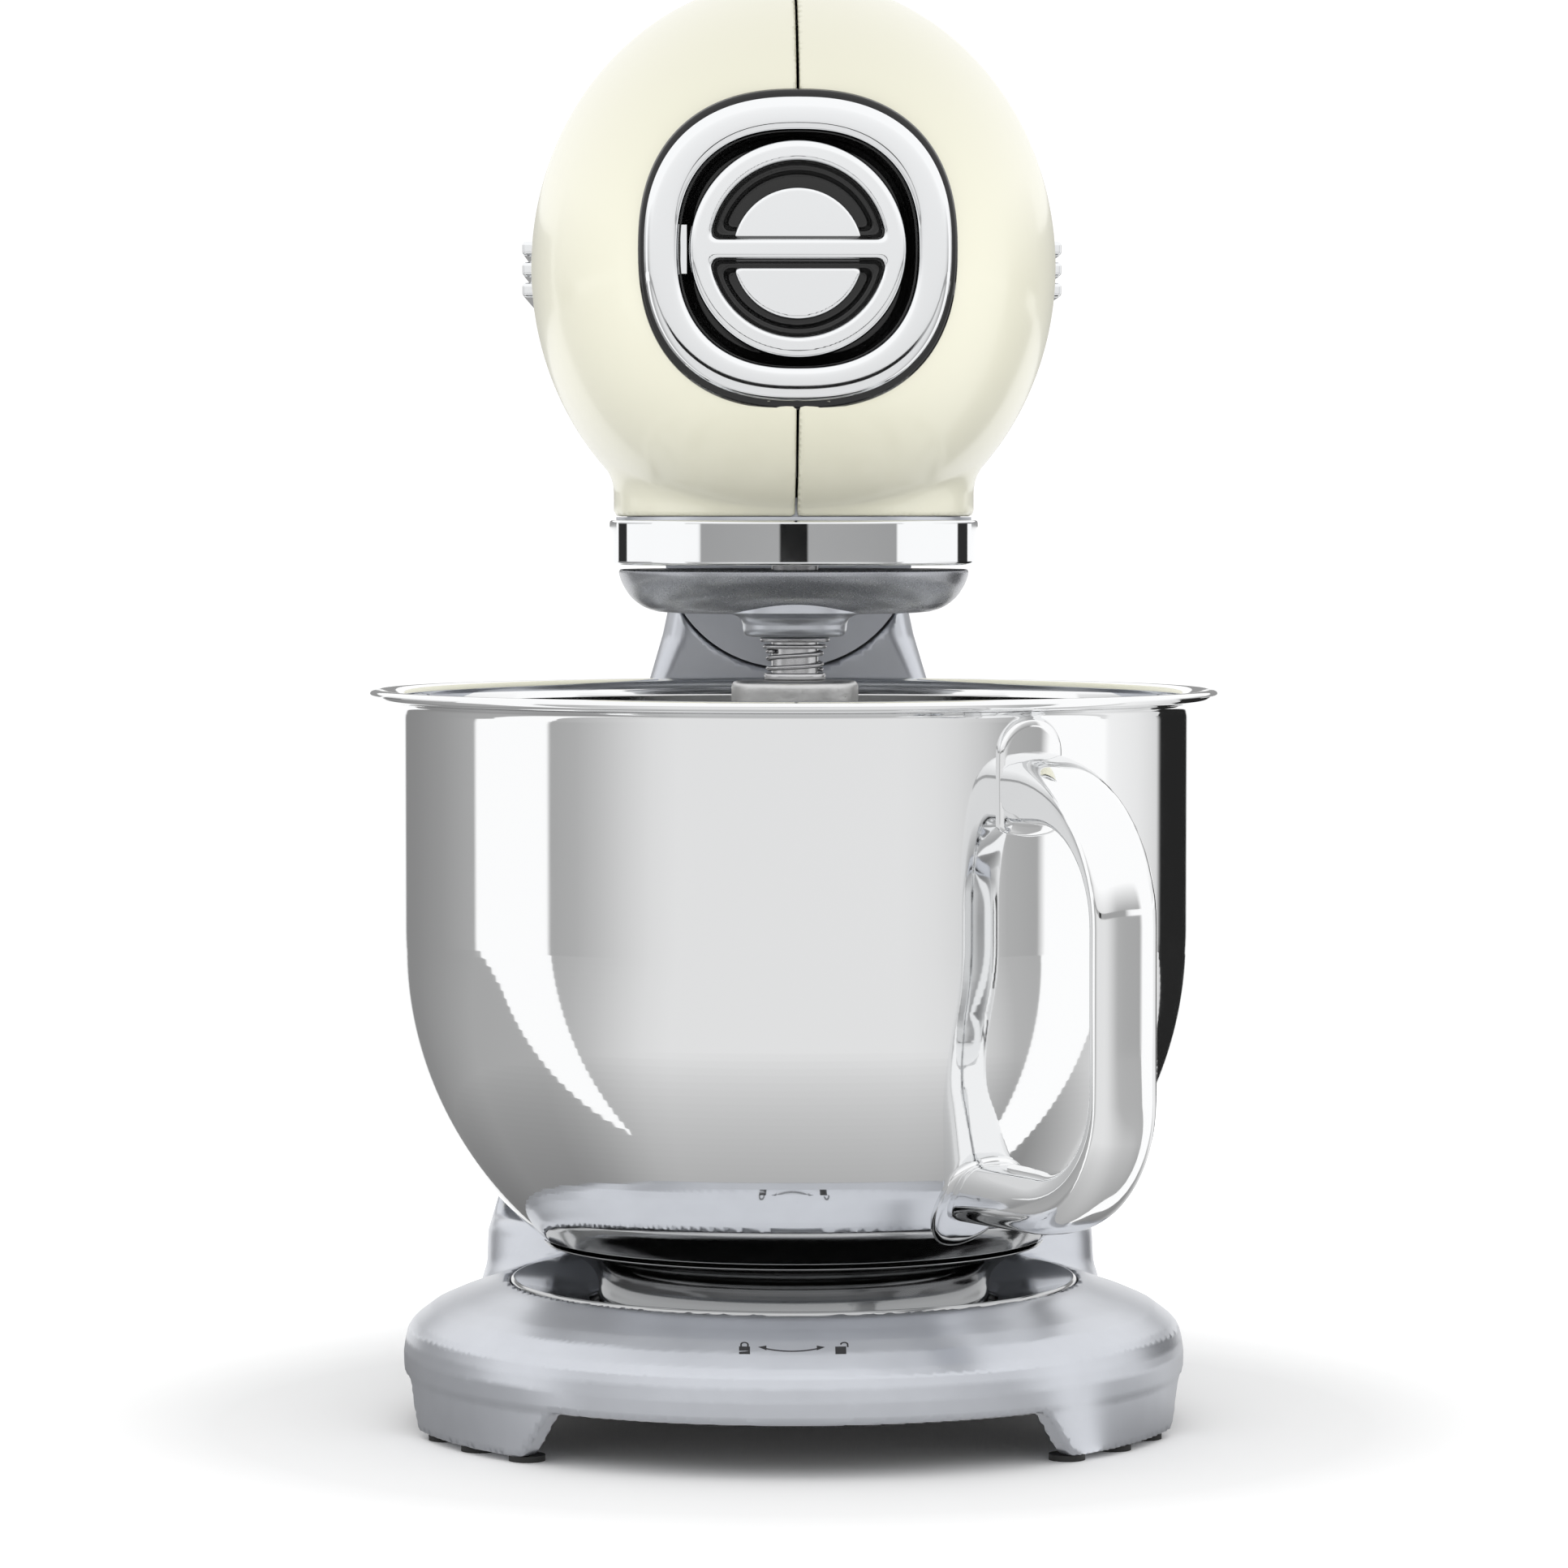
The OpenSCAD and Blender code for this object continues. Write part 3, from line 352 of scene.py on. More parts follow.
def steps(value, table):
    """Straight-line lookup of value in a table of (at, result)."""
    at, result = zip(*table)
    return np.interp(value, at, result)


def ease(t):
    t = np.clip(t, 0, 1)
    return t * t * (3 - 2 * t)


# ---------------------------------------------------------------- materials


def material(name, base, metallic=0.0, roughness=0.4, rough_spread=0.05, grain=200.0, bump=0.02,
             bump_distance=0.0002, tint=0.03, coat=0.0, coat_roughness=0.03, stretch=(1, 1, 1),
             specular=0.5, detail=4.0):
    """Procedural finish: noise moves the colour, the roughness and the surface a little."""
    mat = bpy.data.materials.new(name)
    mat.use_nodes = True
    nodes, links = mat.node_tree.nodes, mat.node_tree.links
    shader = nodes["Principled BSDF"]
    shader.inputs["Metallic"].default_value = metallic
    shader.inputs["Specular IOR Level"].default_value = specular
    shader.inputs["Coat Weight"].default_value = coat
    shader.inputs["Coat Roughness"].default_value = coat_roughness
    place = nodes.new("ShaderNodeTexCoord")
    mapping = nodes.new("ShaderNodeMapping")
    mapping.inputs["Scale"].default_value = stretch
    links.new(place.outputs["Object"], mapping.inputs["Vector"])
    fine = nodes.new("ShaderNodeTexNoise")
    fine.inputs["Scale"].default_value = grain
    fine.inputs["Detail"].default_value = detail
    broad = nodes.new("ShaderNodeTexNoise")
    broad.inputs["Scale"].default_value = max(grain / 25, 4.0)
    broad.inputs["Detail"].default_value = 2.0
    for noise in (fine, broad):
        links.new(mapping.outputs["Vector"], noise.inputs["Vector"])
    ramp = nodes.new("ShaderNodeValToRGB")
    ramp.color_ramp.elements[0].position = 0.3
    ramp.color_ramp.elements[1].position = 0.7
    ramp.color_ramp.elements[0].color = tuple(max(0.0, c * (1 - tint)) for c in base) + (1,)
    ramp.color_ramp.elements[1].color = tuple(min(1.0, c * (1 + tint)) for c in base) + (1,)
    links.new(broad.outputs["Fac"], ramp.inputs["Fac"])
    links.new(ramp.outputs["Color"], shader.inputs["Base Color"])
    spread = nodes.new("ShaderNodeMapRange")
    spread.inputs["To Min"].default_value = max(0.0, roughness - rough_spread)
    spread.inputs["To Max"].default_value = min(1.0, roughness + rough_spread)
    links.new(fine.outputs["Fac"], spread.inputs["Value"])
    links.new(spread.outputs["Result"], shader.inputs["Roughness"])
    height = nodes.new("ShaderNodeBump")
    height.inputs["Strength"].default_value = bump
    height.inputs["Distance"].default_value = bump_distance
    links.new(fine.outputs["Fac"], height.inputs["Height"])
    links.new(height.outputs["Normal"], shader.inputs["Normal"])
    return mat


FINISHES = {
    "cream_enamel": dict(base=(0.725, 0.712, 0.58), roughness=0.34, rough_spread=0.02, grain=60, bump=0.01,
                         tint=0.008, coat=0.45, coat_roughness=0.12),
    "silver_enamel": dict(base=(0.6, 0.62, 0.665), metallic=0.85, roughness=0.3, rough_spread=0.05,
                          grain=2500, bump=0.05, bump_distance=0.00005, tint=0.02, coat=0.15,
                          coat_roughness=0.2),
    # A darker copy of the silver enamel for the planetary disc: painted shade, standing for the dark bowl below
    # that the disc reflects
    "carrier_enamel_painted_shade": dict(base=(0.4, 0.41, 0.44), metallic=0.85, roughness=0.28, rough_spread=0.05,
                           grain=2500, bump=0.05, bump_distance=0.00005, tint=0.02, coat=0.15),
    "polished_steel": dict(base=(0.88, 0.885, 0.89), metallic=1.0, roughness=0.05, rough_spread=0.02,
                           grain=120, bump=0.004, bump_distance=0.00005, tint=0.01),
    # A darker copy of the polished steel for the seat and the bowl's foot: painted shade where they sit under
    # the bowl
    "steel_painted_shade": dict(base=(0.5, 0.505, 0.51), metallic=1.0, roughness=0.1, rough_spread=0.02, grain=120,
                         bump=0.004, bump_distance=0.00005, tint=0.01),
    "chrome_trim": dict(base=(0.86, 0.87, 0.88), metallic=1.0, roughness=0.04, rough_spread=0.015,
                        grain=150, bump=0.003, bump_distance=0.00005, tint=0.008),
    "burnished_aluminium": dict(base=(0.62, 0.62, 0.62), metallic=1.0, roughness=0.33, rough_spread=0.12,
                                grain=420, bump=0.25, bump_distance=0.0003, tint=0.08),
    "cast_aluminium": dict(base=(0.5, 0.51, 0.53), metallic=1.0, roughness=0.5, grain=700, bump=0.3,
                           bump_distance=0.0003, tint=0.06),
    "plain_steel": dict(base=(0.55, 0.55, 0.56), metallic=1.0, roughness=0.22, rough_spread=0.08, grain=500,
                        bump=0.05, bump_distance=0.0001, tint=0.05, stretch=(1, 1, 12)),
    "screw_steel": dict(base=(0.6, 0.6, 0.62), metallic=1.0, roughness=0.3, grain=600, bump=0.05,
                        tint=0.05),
    "spring_steel": dict(base=(0.5, 0.5, 0.51), metallic=1.0, roughness=0.2, grain=600, bump=0.05,
                         tint=0.05),
    "laminated_steel": dict(base=(0.3, 0.31, 0.33), metallic=1.0, roughness=0.45, grain=900, bump=0.3,
                            tint=0.06, stretch=(0.05, 0.05, 3)),
    "copper_wire": dict(base=(0.62, 0.27, 0.11), metallic=1.0, roughness=0.3, grain=500, bump=0.4,
                        bump_distance=0.0004, tint=0.1, stretch=(0.3, 0.3, 4)),
    "dark_sheet": dict(base=(0.03, 0.03, 0.032), metallic=0.3, roughness=0.5, grain=1500, bump=0.1,
                       tint=0.1),
    "rubber": dict(base=(0.02, 0.02, 0.02), roughness=0.75, grain=900, bump=0.2, tint=0.15),
    "black_plastic": dict(base=(0.012, 0.012, 0.013), roughness=0.28, rough_spread=0.05, grain=900,
                          bump=0.05, tint=0.1),
    "gloss_black": dict(base=(0.008, 0.008, 0.008), roughness=0.08, rough_spread=0.02, grain=300, bump=0.01,
                        tint=0.05),
    "mark_paint": dict(base=(0.01, 0.01, 0.012), roughness=0.4, grain=900, bump=0.02, tint=0.05),
    "circuit_board": dict(base=(0.02, 0.12, 0.05), roughness=0.4, grain=300, bump=0.1, tint=0.25),
}
MATS = {name: material(name, **looks) for name, looks in FINISHES.items()}


def stand_in(obj, finish, body, *nodes):
    """Finishes a new piece: its material, its body and the CAD nodes it stands for."""
    obj.data.materials.clear()
    obj.data.materials.append(MATS[finish])
    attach(obj, body)
    if nodes:
        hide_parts(*nodes)
    return obj


# The CAD nodes take the finish of the slot that the record gives them
for row in frame["record"]["subparts"]:
    node_obj = frame["nodes"][row["node"]]
    if not node_obj.material_slots:
        node_obj.data.materials.append(None)
    for place in node_obj.material_slots:
        place.material = MATS[row["material_slot"]]


# ---------------------------------------------------------------- stand

# The base's shoulder: (height, how far the outline is drawn in)
BASE_PROFILE = [(0, 0.4), (13, 0.4), (15, 0.1), (19, 0.0), (22.5, 0.5), (25.4, 1.3), (27.2, 2.9), (28.8, 5),
                (30.6, 7.4), (33, 13), (35, 19), (37.2, 24.8), (37.8, 27), (38.0, 30)]
BASE_TOP_Z = 38.0
BASE_R = 101.9
REAR_W = 86.0
REAR_U = 280.0
REAR_R = 40.0
BLOCK_FRONT_U = 20
SKIRT_Z = 13.5
FOOT_Z = 1.5
# The column: (height, half width, front, rear, corner radius)
COLUMN_LEVELS = [(20, 82.8, 30, 268, 26), (41, 82.8, 48, 267, 26), (203, 35.3, 104, 256, 17),
                 (230, 29.5, 106, 250, 15)]
COLUMN_TOP_Z = 229.6
CHAMFER_U, CHAMFER_ANGLE = 228, 36
BOWL_SPACE_R, BOWL_SPACE_Z = 114.5, 45.2
FOOT_SPACE_R, FOOT_SPACE_Z = 78.0, 37.6
SEAT_SPACE_R, SEAT_SPACE_Z = 74.35, 20.8
STAND_WALL, HOLLOW_TOP_Z = 6.3, 16.5
KEEL_U, KEEL_LENGTH, KEEL_END_U = 113, 113.0, 226.5
KEEL_R, KEEL_NARROWS, KEEL_Z, KEEL_RISES, KEEL_GAP = 34.0, 21.0, 227.5, 8.5, 0.7
EAR_X, EAR_HALF, EAR_R, EAR_FOOT_Z = 22.2, 5.8, 11.0, 205
BARREL_R, BARREL_HALF = 11.7, 16.35
# Bores in the column's back for the lock's guide and the cable's gland: (height, radius)
REAR_BORES = ((176.0, 14.3), (62.0, 8.2))


def base_plan(x, y):
    """Distance to the base's outline: a round front and the block under the column."""
    front = np.hypot(x, y) - BASE_R
    middle, reach = (BLOCK_FRONT_U + REAR_U) / 2, (REAR_U - BLOCK_FRONT_U) / 2
    block = rounded_rect(x, y, 0, middle, REAR_W, reach, REAR_R)
    return smin(front, block, 5.0)


def foot_weight(x, y):
    """1 over a foot, 0 over an arch, with S-shaped steps between."""
    ax = np.abs(x)
    front = np.degrees(np.arctan2(ax, -y))
    rear = np.degrees(np.arctan2(y - (REAR_U - REAR_R), ax - (REAR_W - REAR_R)))
    a = ease((front - 36.8) / 7.0) * ease((79.0 - front) / 7.0)
    b = ease((rear - 2.0) / 16.0) * ease((88.0 - rear) / 16.0)
    return np.where(y < 90, a, b)


def stand_field(x, y, z):
    plan = base_plan(x, y)
    inset = steps(z, BASE_PROFILE)
    slope = steps(z, [(24, 0.2), (28, 1.6), (31, 2.6), (36, 2.8), (38, 4)])
    body = (plan + inset) / np.sqrt(1 + slope**2)
    body = smax(body, z - BASE_TOP_Z, 1.5)
    bottom = SKIRT_Z - (SKIRT_Z - FOOT_Z) * foot_weight(x, y)
    body = smax(body, (bottom - z) * 0.8, 1.2)
    w, y0, y1, r = (steps(z, [(level[0], level[k]) for level in COLUMN_LEVELS]) for k in (1, 2, 3, 4))
    column = rounded_rect(x, y, 0, (y0 + y1) / 2, w, (y1 - y0) / 2, r) * 0.96
    column = smax(column, 20 - z, 1)
    column = smax(column, z - COLUMN_TOP_Z, 4)
    # chamfer that the tail swings over
    lean = math.radians(CHAMFER_ANGLE)
    cut = (y - CHAMFER_U) * math.sin(lean) + (z - COLUMN_TOP_Z) * math.cos(lean)
    column = smax(column, cut, 6)
    # the bowl's space, and below it the space of the bowl's foot
    bowl_space = smax(np.hypot(x, y) - BOWL_SPACE_R, BOWL_SPACE_Z - z, 7.0)
    column = smax(column, -bowl_space, 3.5)
    foot_space = smax(np.hypot(x, y) - FOOT_SPACE_R, FOOT_SPACE_Z - z, 1.0)
    column = smax(column, -foot_space, 2.0)
    whole = smin(body, column, 5.0)
    # hollow underneath, and the seat's recess
    hollow = smax(plan + STAND_WALL, z - HOLLOW_TOP_Z, 2)
    whole = smax(whole, -hollow, 1.0)
    seat_space = np.maximum(np.hypot(x, y) - SEAT_SPACE_R, SEAT_SPACE_Z - z)
    whole = smax(whole, -seat_space, 0.6)
    # trough for the head's keel
    along = np.clip((y - KEEL_U) / KEEL_LENGTH, -0.3, 1.2)
    cone_r = KEEL_R - KEEL_NARROWS * along + KEEL_GAP
    cone_z = KEEL_Z + KEEL_RISES * along
    trough = (np.hypot(x, z - cone_z) - cone_r) * 0.98
    trough = np.maximum(trough, y - KEEL_END_U)
    whole = smax(whole, -trough, 0.8)
    # hinge ears on their posts, and the barrel's space between them
    off_ear = np.abs(np.abs(x) - EAR_X) - EAR_HALF
    ears = np.maximum(np.hypot(y - HINGE_U, z - HINGE_Z) - EAR_R, off_ear)
    post = np.maximum(np.maximum(HINGE_U - 10.5 - y, y - HINGE_U - 9.0), off_ear)
    post = np.maximum(np.maximum(post, z - HINGE_Z), EAR_FOOT_Z - z)
    whole = smin(whole, np.minimum(ears, post), 1.5)
    off_barrel = np.abs(x) - BARREL_HALF
    barrel = np.maximum(np.hypot(y - HINGE_U, z - HINGE_Z) - BARREL_R, off_barrel)
    slot = np.maximum(np.maximum(off_barrel, np.abs(y - 231) - 19), 225.2 - z)
    whole = np.maximum(whole, -np.minimum(barrel, slot))
    for zc, rr in REAR_BORES:
        hole = np.maximum(np.hypot(x, z - zc) - rr, 240 - y)
        whole = np.maximum(whole, -hole)
    return whole


stand = solid("stand_casting_fine", stand_field, (-104, -104, 0), (104, 283, 252), cell(1.5, 3.0))
stand_in(stand, "silver_enamel", "stand", "stand_casting")

# ---------------------------------------------------------------- twist-lock seat

seat_dish = smooth_path([(74.0, 36.0), (74.05, 37.2), (73.5, 37.85), (72.6, 37.9), (69, 36.9), (64, 35.4),
                         (59, 34.1), (55.6, 33.3), (53.8, 32.6), (53.2, 31.6), (53.1, 30.6)], 5)
seat_well = [(53.1, 29.7), (58, 29.6), (58, 23.3), (0, 23.2)]
seat = lathe("bowl_seat_fine", seat_dish + seat_well, segments=192)
# The seat's steel is darkened: painted shade under the bowl
stand_in(seat, "steel_painted_shade", "stand", "bowl_seat")

# ---------------------------------------------------------------- bowl


def bowl_outer(z):
    """Radius of the bowl's outside at height z."""
    if z >= BOWL_TURN_Z:
        return BOWL_R
    return math.sqrt(max(BOWL_R**2 - (BOWL_TURN_Z - z) ** 2, 0))


inner_r = BOWL_R - BOWL_WALL
bowl_points = (
    [(0, 51.6), (18, 50.2), (40, 48.3), (60.5, 47.8), (63.6, 47.95), (64.8, 48.25), (65.5, 48.75)]
    + arc(0, BOWL_TURN_Z, BOWL_R, -50.9, 0, 48)
    + [(BOWL_R, z) for z in np.linspace(138, RIM_Z - 6.5, 8)]
    + smooth_path([(BOWL_R, RIM_Z - 5.6), (104.9, RIM_Z - 4.2), (106.4, RIM_Z - 3.2), (108.6, RIM_Z - 2.9),
                   (110.0, RIM_Z - 2.4), (RIM_R, RIM_Z - 1.4), (110.0, RIM_Z - 0.5), (108.8, RIM_Z - 0.1),
                   (107, RIM_Z - 0.15), (105.2, RIM_Z - 0.9), (104.0, RIM_Z - 2.4), (inner_r, RIM_Z - 4.6)], 5)
    + [(inner_r, z) for z in np.linspace(RIM_Z - 7, 138, 8)]
    + arc(0, BOWL_TURN_Z, inner_r, 0, -50.6, 48)
    + [(63, 49.6), (60, 49.0), (40, 49.3), (18, 51.3), (0, 52.7)]
)
bowl = lathe("bowl_shell_fine", bowl_points, segments=224)
stand_in(bowl, "polished_steel", "bowl", "bowl_shell")

foot_profile = (
    [(49.8, 24), (51, 24), (51, 33)]
    + smooth_path([(51, 35), (51.1, 37.0), (52.0, 39.4), (53.9, 41.8), (56.8, 44.0), (60.4, 45.9), (64.2, 47.0),
                   (65.2, 47.5), (64.6, 47.7)], 6)
    + [(61.5, 47.6), (52, 47.4), (50, 46), (49.8, 42)]
)
foot = lathe("bowl_foot_fine", foot_profile, segments=192, closed=True)
# The foot's steel is darkened: painted shade under the bowl
stand_in(foot, "steel_painted_shade", "bowl", "bowl_foot")

# Handle: one loop in the plane of (distance from the axis, height), thick at its arms, thin down its front
HX, HY = math.sin(math.radians(HANDLE_ANGLE)), -math.cos(math.radians(HANDLE_ANGLE))
TX, TY = math.cos(math.radians(HANDLE_ANGLE)), math.sin(math.radians(HANDLE_ANGLE))
HANDLE_HALF_W = 9.35
HANDLE_OUT_R, HANDLE_IN_R = 146.3, 139.8
OUTER_TOP_BEND, OUTER_LOW_BEND, INNER_BEND = 41, 34, 24


def handle_space(r, t, z):
    """Point at distance r from the axis in the handle's plane, t across it, at height z."""
    return (HX * r + TX * t, AXIS_Y + HY * r + TY * t, z)


def straight(start, end, n):
    """n points from start towards end, without the end."""
    return [tuple(p) for p in np.linspace(start, end, n + 1)[:-1]]


def handle_sides():
    """Matching points of the handle's outer and inner edge, from the upper arm round to the lower one."""
    bends = 16
    outer = (straight((103.9, 178.3), (HANDLE_OUT_R - OUTER_TOP_BEND, 178.4), 3)
             + arc(HANDLE_OUT_R - OUTER_TOP_BEND, 137.4, OUTER_TOP_BEND, 90, 0, bends)
             + straight((HANDLE_OUT_R, 130), (HANDLE_OUT_R, 100), 5)
             + arc(HANDLE_OUT_R - OUTER_LOW_BEND, 94, OUTER_LOW_BEND, 0, -90, bends)
             + straight((108, 60), (77.7, 60), 6) + [(77.7, 60)])
    inner = (straight((103.9, 160.6), (110, 160.5), 3)
             + arc(HANDLE_IN_R - INNER_BEND, 136.5, INNER_BEND, 90, 0, bends)
             + straight((HANDLE_IN_R, 130), (HANDLE_IN_R, 104), 5)
             + arc(HANDLE_IN_R - INNER_BEND, 99.5, INNER_BEND, 0, -90, bends)
             + straight((113, 75.5), (88.8, 75.5), 6) + [(88.8, 75.5)])
    return np.array(outer), np.array(inner)


def handle_mesh():
    rings = []
    for far, near in zip(*handle_sides()):
        middle = (far + near) / 2
        reach = np.linalg.norm(far - near) / 2
        nr, nz = (far - near) / (2 * reach)
        section = even_loop(squircle(HANDLE_HALF_W, reach, power=3.0, n=96), 56)
        rings.append([handle_space(middle[0] + nr * b, a, middle[1] + nz * b) for a, b in section])
    return loft("bowl_handle_fine", rings)


handle = handle_mesh()
stand_in(handle, "polished_steel", "bowl", "bowl_handle")


def bowl_patch(name, z_low, z_high, half_w, thick, top_round, bottom_round):
    """A thin plate that follows the bowl's wall, with rounded ends."""
    outline = []
    for middle, reach, start in ((z_high - top_round, top_round, 0), (z_low + bottom_round, bottom_round, 180)):
        for a in np.radians(np.linspace(start, start + 180, 25)):
            outline.append((half_w * math.cos(a), middle + reach * math.sin(a)))
    outline = even_loop(np.array(outline), 96)
    centre = np.array([0, (z_low + z_high) / 2])

    def wall(a, z, out):
        r = bowl_outer(z)
        nz = -math.sqrt(max(0, 1 - (r / BOWL_R) ** 2)) if z < BOWL_TURN_Z else 0.0
        nr = math.sqrt(1 - nz * nz)
        rr, zz = r + nr * out, z + nz * out
        ang = math.radians(HANDLE_ANGLE - 90) + a / r
        return (rr * math.cos(ang), rr * math.sin(ang) + AXIS_Y, zz)

    rings = [[wall(a, z, -0.3) for a, z in outline], [wall(a, z, thick * 0.55) for a, z in outline]]
    for shrink, out in ((0.35, 0.86), (0.9, 1.0)):
        away = outline - centre
        length = np.linalg.norm(away, axis=1, keepdims=True)
        rings.append([wall(a, z, thick * out) for a, z in outline - away / length * shrink * thick])
    for k in (0.8, 0.55, 0.3, 0.08):
        rings.append([wall(a, z, thick) for a, z in centre + (outline - centre) * k])
    return loft(name, rings, caps=(False, True))


tab = bowl_patch("handle_tongue", 157.5, 187.2, 9.4, 1.5, 9.0, 3.0)
stand_in(tab, "polished_steel", "bowl")
leaf = bowl_patch("handle_pad", 53.5, 77.0, 11.2, 1.5, 6.0, 12.0)
stand_in(leaf, "polished_steel", "bowl")

# ---------------------------------------------------------------- head

NOSE_U, NOSE_REACH = 15.0, 107.5
TAIL_REACH = 76.5
TAIL_FULL_U = TAIL_U - TAIL_REACH
HEAD_POWER = 2.2
SHELL_WALL = 3.0
HUB_OPENING = 37.4
EAR_SPACE_R, EAR_SPACE_HALF = 13.0, 28.6


def head_distance(x, y, z, inset=0.0):
    """Distance to the head's rounded bullet, oval across, drawn in by inset."""
    across = np.hypot(x / (HEAD_HALF_W - inset), (z - HEAD_Z) / (HEAD_HALF_H - inset))
    t = np.where(y < NOSE_U, (NOSE_U - y) / (NOSE_REACH - inset),
                 np.where(y > TAIL_FULL_U, (y - TAIL_FULL_U) / (TAIL_REACH - inset), 0.0))
    value = (across**HEAD_POWER + t**HEAD_POWER) ** (1 / HEAD_POWER)
    return (value - 1) * (HEAD_HALF_W - inset)


def head_field(side):
    """One half of the head's casing."""
    def field(x, y, z):
        body = head_distance(x, y, z)
        neck = np.maximum(np.hypot(x, y) - NECK_R, z - 300)
        outer = smin(body, neck, 3.2)
        outer = smax(outer, HEAD_CUT_Z - z, 1.6)
        neck_inside = np.maximum(np.hypot(x, y) - NECK_R + 3, z - 300)
        inner = np.minimum(head_distance(x, y, z, SHELL_WALL), neck_inside)
        shell = np.maximum(outer, -inner)
        hub = smax(squircle_distance(x, z, HUB_OPENING), y + 60, 1)
        shell = smax(shell, -hub, 0.8)
        ear_space = np.maximum(np.hypot(y - HINGE_U, z - HINGE_Z) - EAR_SPACE_R, np.abs(x) - EAR_SPACE_HALF)
        shell = np.maximum(shell, -ear_space)
        shell = smax(shell, SEAM / 2 - side * x, 0.7)
        return shell

    return field


HUB_POWER = 2.4


def squircle_distance(x, z, half, power=HUB_POWER):
    return ((np.abs(x) ** power + np.abs(z - HUB_Z) ** power) ** (1 / power) - half) * 0.9


for side, word in ((1, "right"), (-1, "left")):
    x_low, x_high = sorted((-2 * side, 71 * side))
    low, high = (x_low, -95, 234), (x_high, TAIL_U + 3, 379)
    shell = solid(f"head_shell_{word}_fine", head_field(side), low, high, cell(1.5, 3.0))
    stand_in(shell, "cream_enamel", "head", f"head_shell_{word}")

band_z0, band_z1 = (float(c[2]) for c in box_mm("chrome_band"))
band_profile = [(46.4, band_z0), (47.3, band_z0), (47.75, band_z0 + 0.2), (47.9, band_z0 + 0.7),
                (47.9, band_z1 - 0.7), (47.75, band_z1 - 0.2), (47.3, band_z1), (46.4, band_z1)]
band = lathe("chrome_band_fine", band_profile, segments=192, closed=True)
stand_in(band, "chrome_trim", "head", "chrome_band")

# ---------------------------------------------------------------- planetary disc

disc = lathe(
    "planet_carrier_fine",
    [(6.0, 211.3), (24, 211.3), (33, 211.35)]
    + smooth_path([(35.5, 211.6), (39.0, 212.8), (42.2, 215.2), (44.4, 218.4), (45.4, 221.0), (45.5, 222.0)], 6)
    + [(45.2, 222.5), (44.6, 222.6), (6.0, 222.6)],
    segments=192, closed=True)
# The disc's silver paint is darkened: painted shade from the dark bowl below it
stand_in(disc, "carrier_enamel_painted_shade", "planetary", "planet_carrier")
boss = lathe(
    "tool_boss",
    [(6.05, 217), (6.05, 205.5), (11.4, 205.5), (12.5, 205.8), (13.1, 206.5), (13.3, 207.4), (13.4, 208.6)]
    + smooth_path([(13.7, 209.6), (14.5, 210.5), (16.2, 211.2), (18.2, 211.5)], 5) + [(18.2, 217)],
    u=TOOL_U, segments=96, closed=True)
stand_in(boss, "silver_enamel", "planetary")

# ---------------------------------------------------------------- tool shaft parts


WASHER_BORE = 6.05


def washer(name, z0, z1, r_out, body, node=None):
    edge = min(0.35, (z1 - z0) / 3)
    profile = [(WASHER_BORE, z0), (r_out - edge, z0), (r_out, z0 + edge), (r_out, z1 - edge),
               (r_out - edge, z1), (WASHER_BORE, z1)]
    obj = lathe(name, profile, u=TOOL_U, segments=80, closed=True)
    return stand_in(obj, "plain_steel", body, *([node] if node else []))


washer("upper_washer_high", 204.1, 205.4, 8.95, "tool", "upper_washers")
washer("upper_washer_low", 202.4, 203.5, 8.2, "tool")
washer("lower_washer_fine", 194.4, 196.2, 7.9, "beater", "lower_washer")


def coil(name, r, wire, z0, z1, turns, u, sides=12, per_turn=36):
    """A spring that lies flat at both ends."""
    n = int(turns * per_turn)
    rings = []
    for i in range(n + 1):
        a = 2 * math.pi * turns * i / n
        ramp = ease((i / n - 0.06) / 0.88)
        z = z0 + (z1 - z0) * ramp
        ring = []
        for j in range(sides):
            b = 2 * math.pi * j / sides
            rr = r + wire * math.cos(b)
            ring.append((rr * math.cos(a), rr * math.sin(a), z + wire * math.sin(b)))
        rings.append(at_axis(ring, u))
    return loft(name, rings)


spring = coil("tool_spring_fine", 6.9, 0.6, 197.0, 201.7, 2.6, TOOL_U)
stand_in(spring, "spring_steel", "tool", "tool_spring")

# ---------------------------------------------------------------- flat beater

BEATER_BOTTOM = 55.0
BEATER_W = 72.0
BEATER_BORE_R, BEATER_BORE_Z = 6.15, 166.8


def beater_outline(inset):
    """Right half of the blade's outline, which follows the bowl, drawn in by inset."""
    reach = BOWL_R - BOWL_WALL - inset
    shift = -TOOL_U + 2.5
    low, side = BEATER_BOTTOM + inset, BEATER_W - inset
    a0 = -math.asin((BOWL_TURN_Z - low) / reach)
    a1 = -math.acos((side + shift) / reach)
    pts = [(0, low)]
    pts += [(reach * math.cos(a) - shift, BOWL_TURN_Z + reach * math.sin(a)) for a in np.linspace(a0, a1, 12)]
    pts += [(side, 132 - inset * 0.2), (side - 8, 146 - inset * 0.6), (side - 24, 158 - inset * 0.9),
            (0.28 * side, 170 - inset * 1.1), (0, 174 - inset * 1.2)]
    return pts


def polygon_distance(x, z, pts):
    """Signed distance to a closed polygon, negative inside."""
    best = np.full(np.broadcast(x, z).shape, 1e9)
    inside = np.zeros(best.shape, bool)
    n = len(pts)
    for i in range(n):
        (x0, z0), (x1, z1) = pts[i], pts[(i + 1) % n]
        ex, ez = x1 - x0, z1 - z0
        t = np.clip(((x - x0) * ex + (z - z0) * ez) / max(ex * ex + ez * ez, 1e-9), 0, 1)
        best = np.minimum(best, np.hypot(x - x0 - t * ex, z - z0 - t * ez))
        if abs(ez) > 1e-9:
            inside ^= ((z0 > z) != (z1 > z)) & (x < (x1 - x0) * (z - z0) / ez + x0)
    return np.where(inside, -best, best)


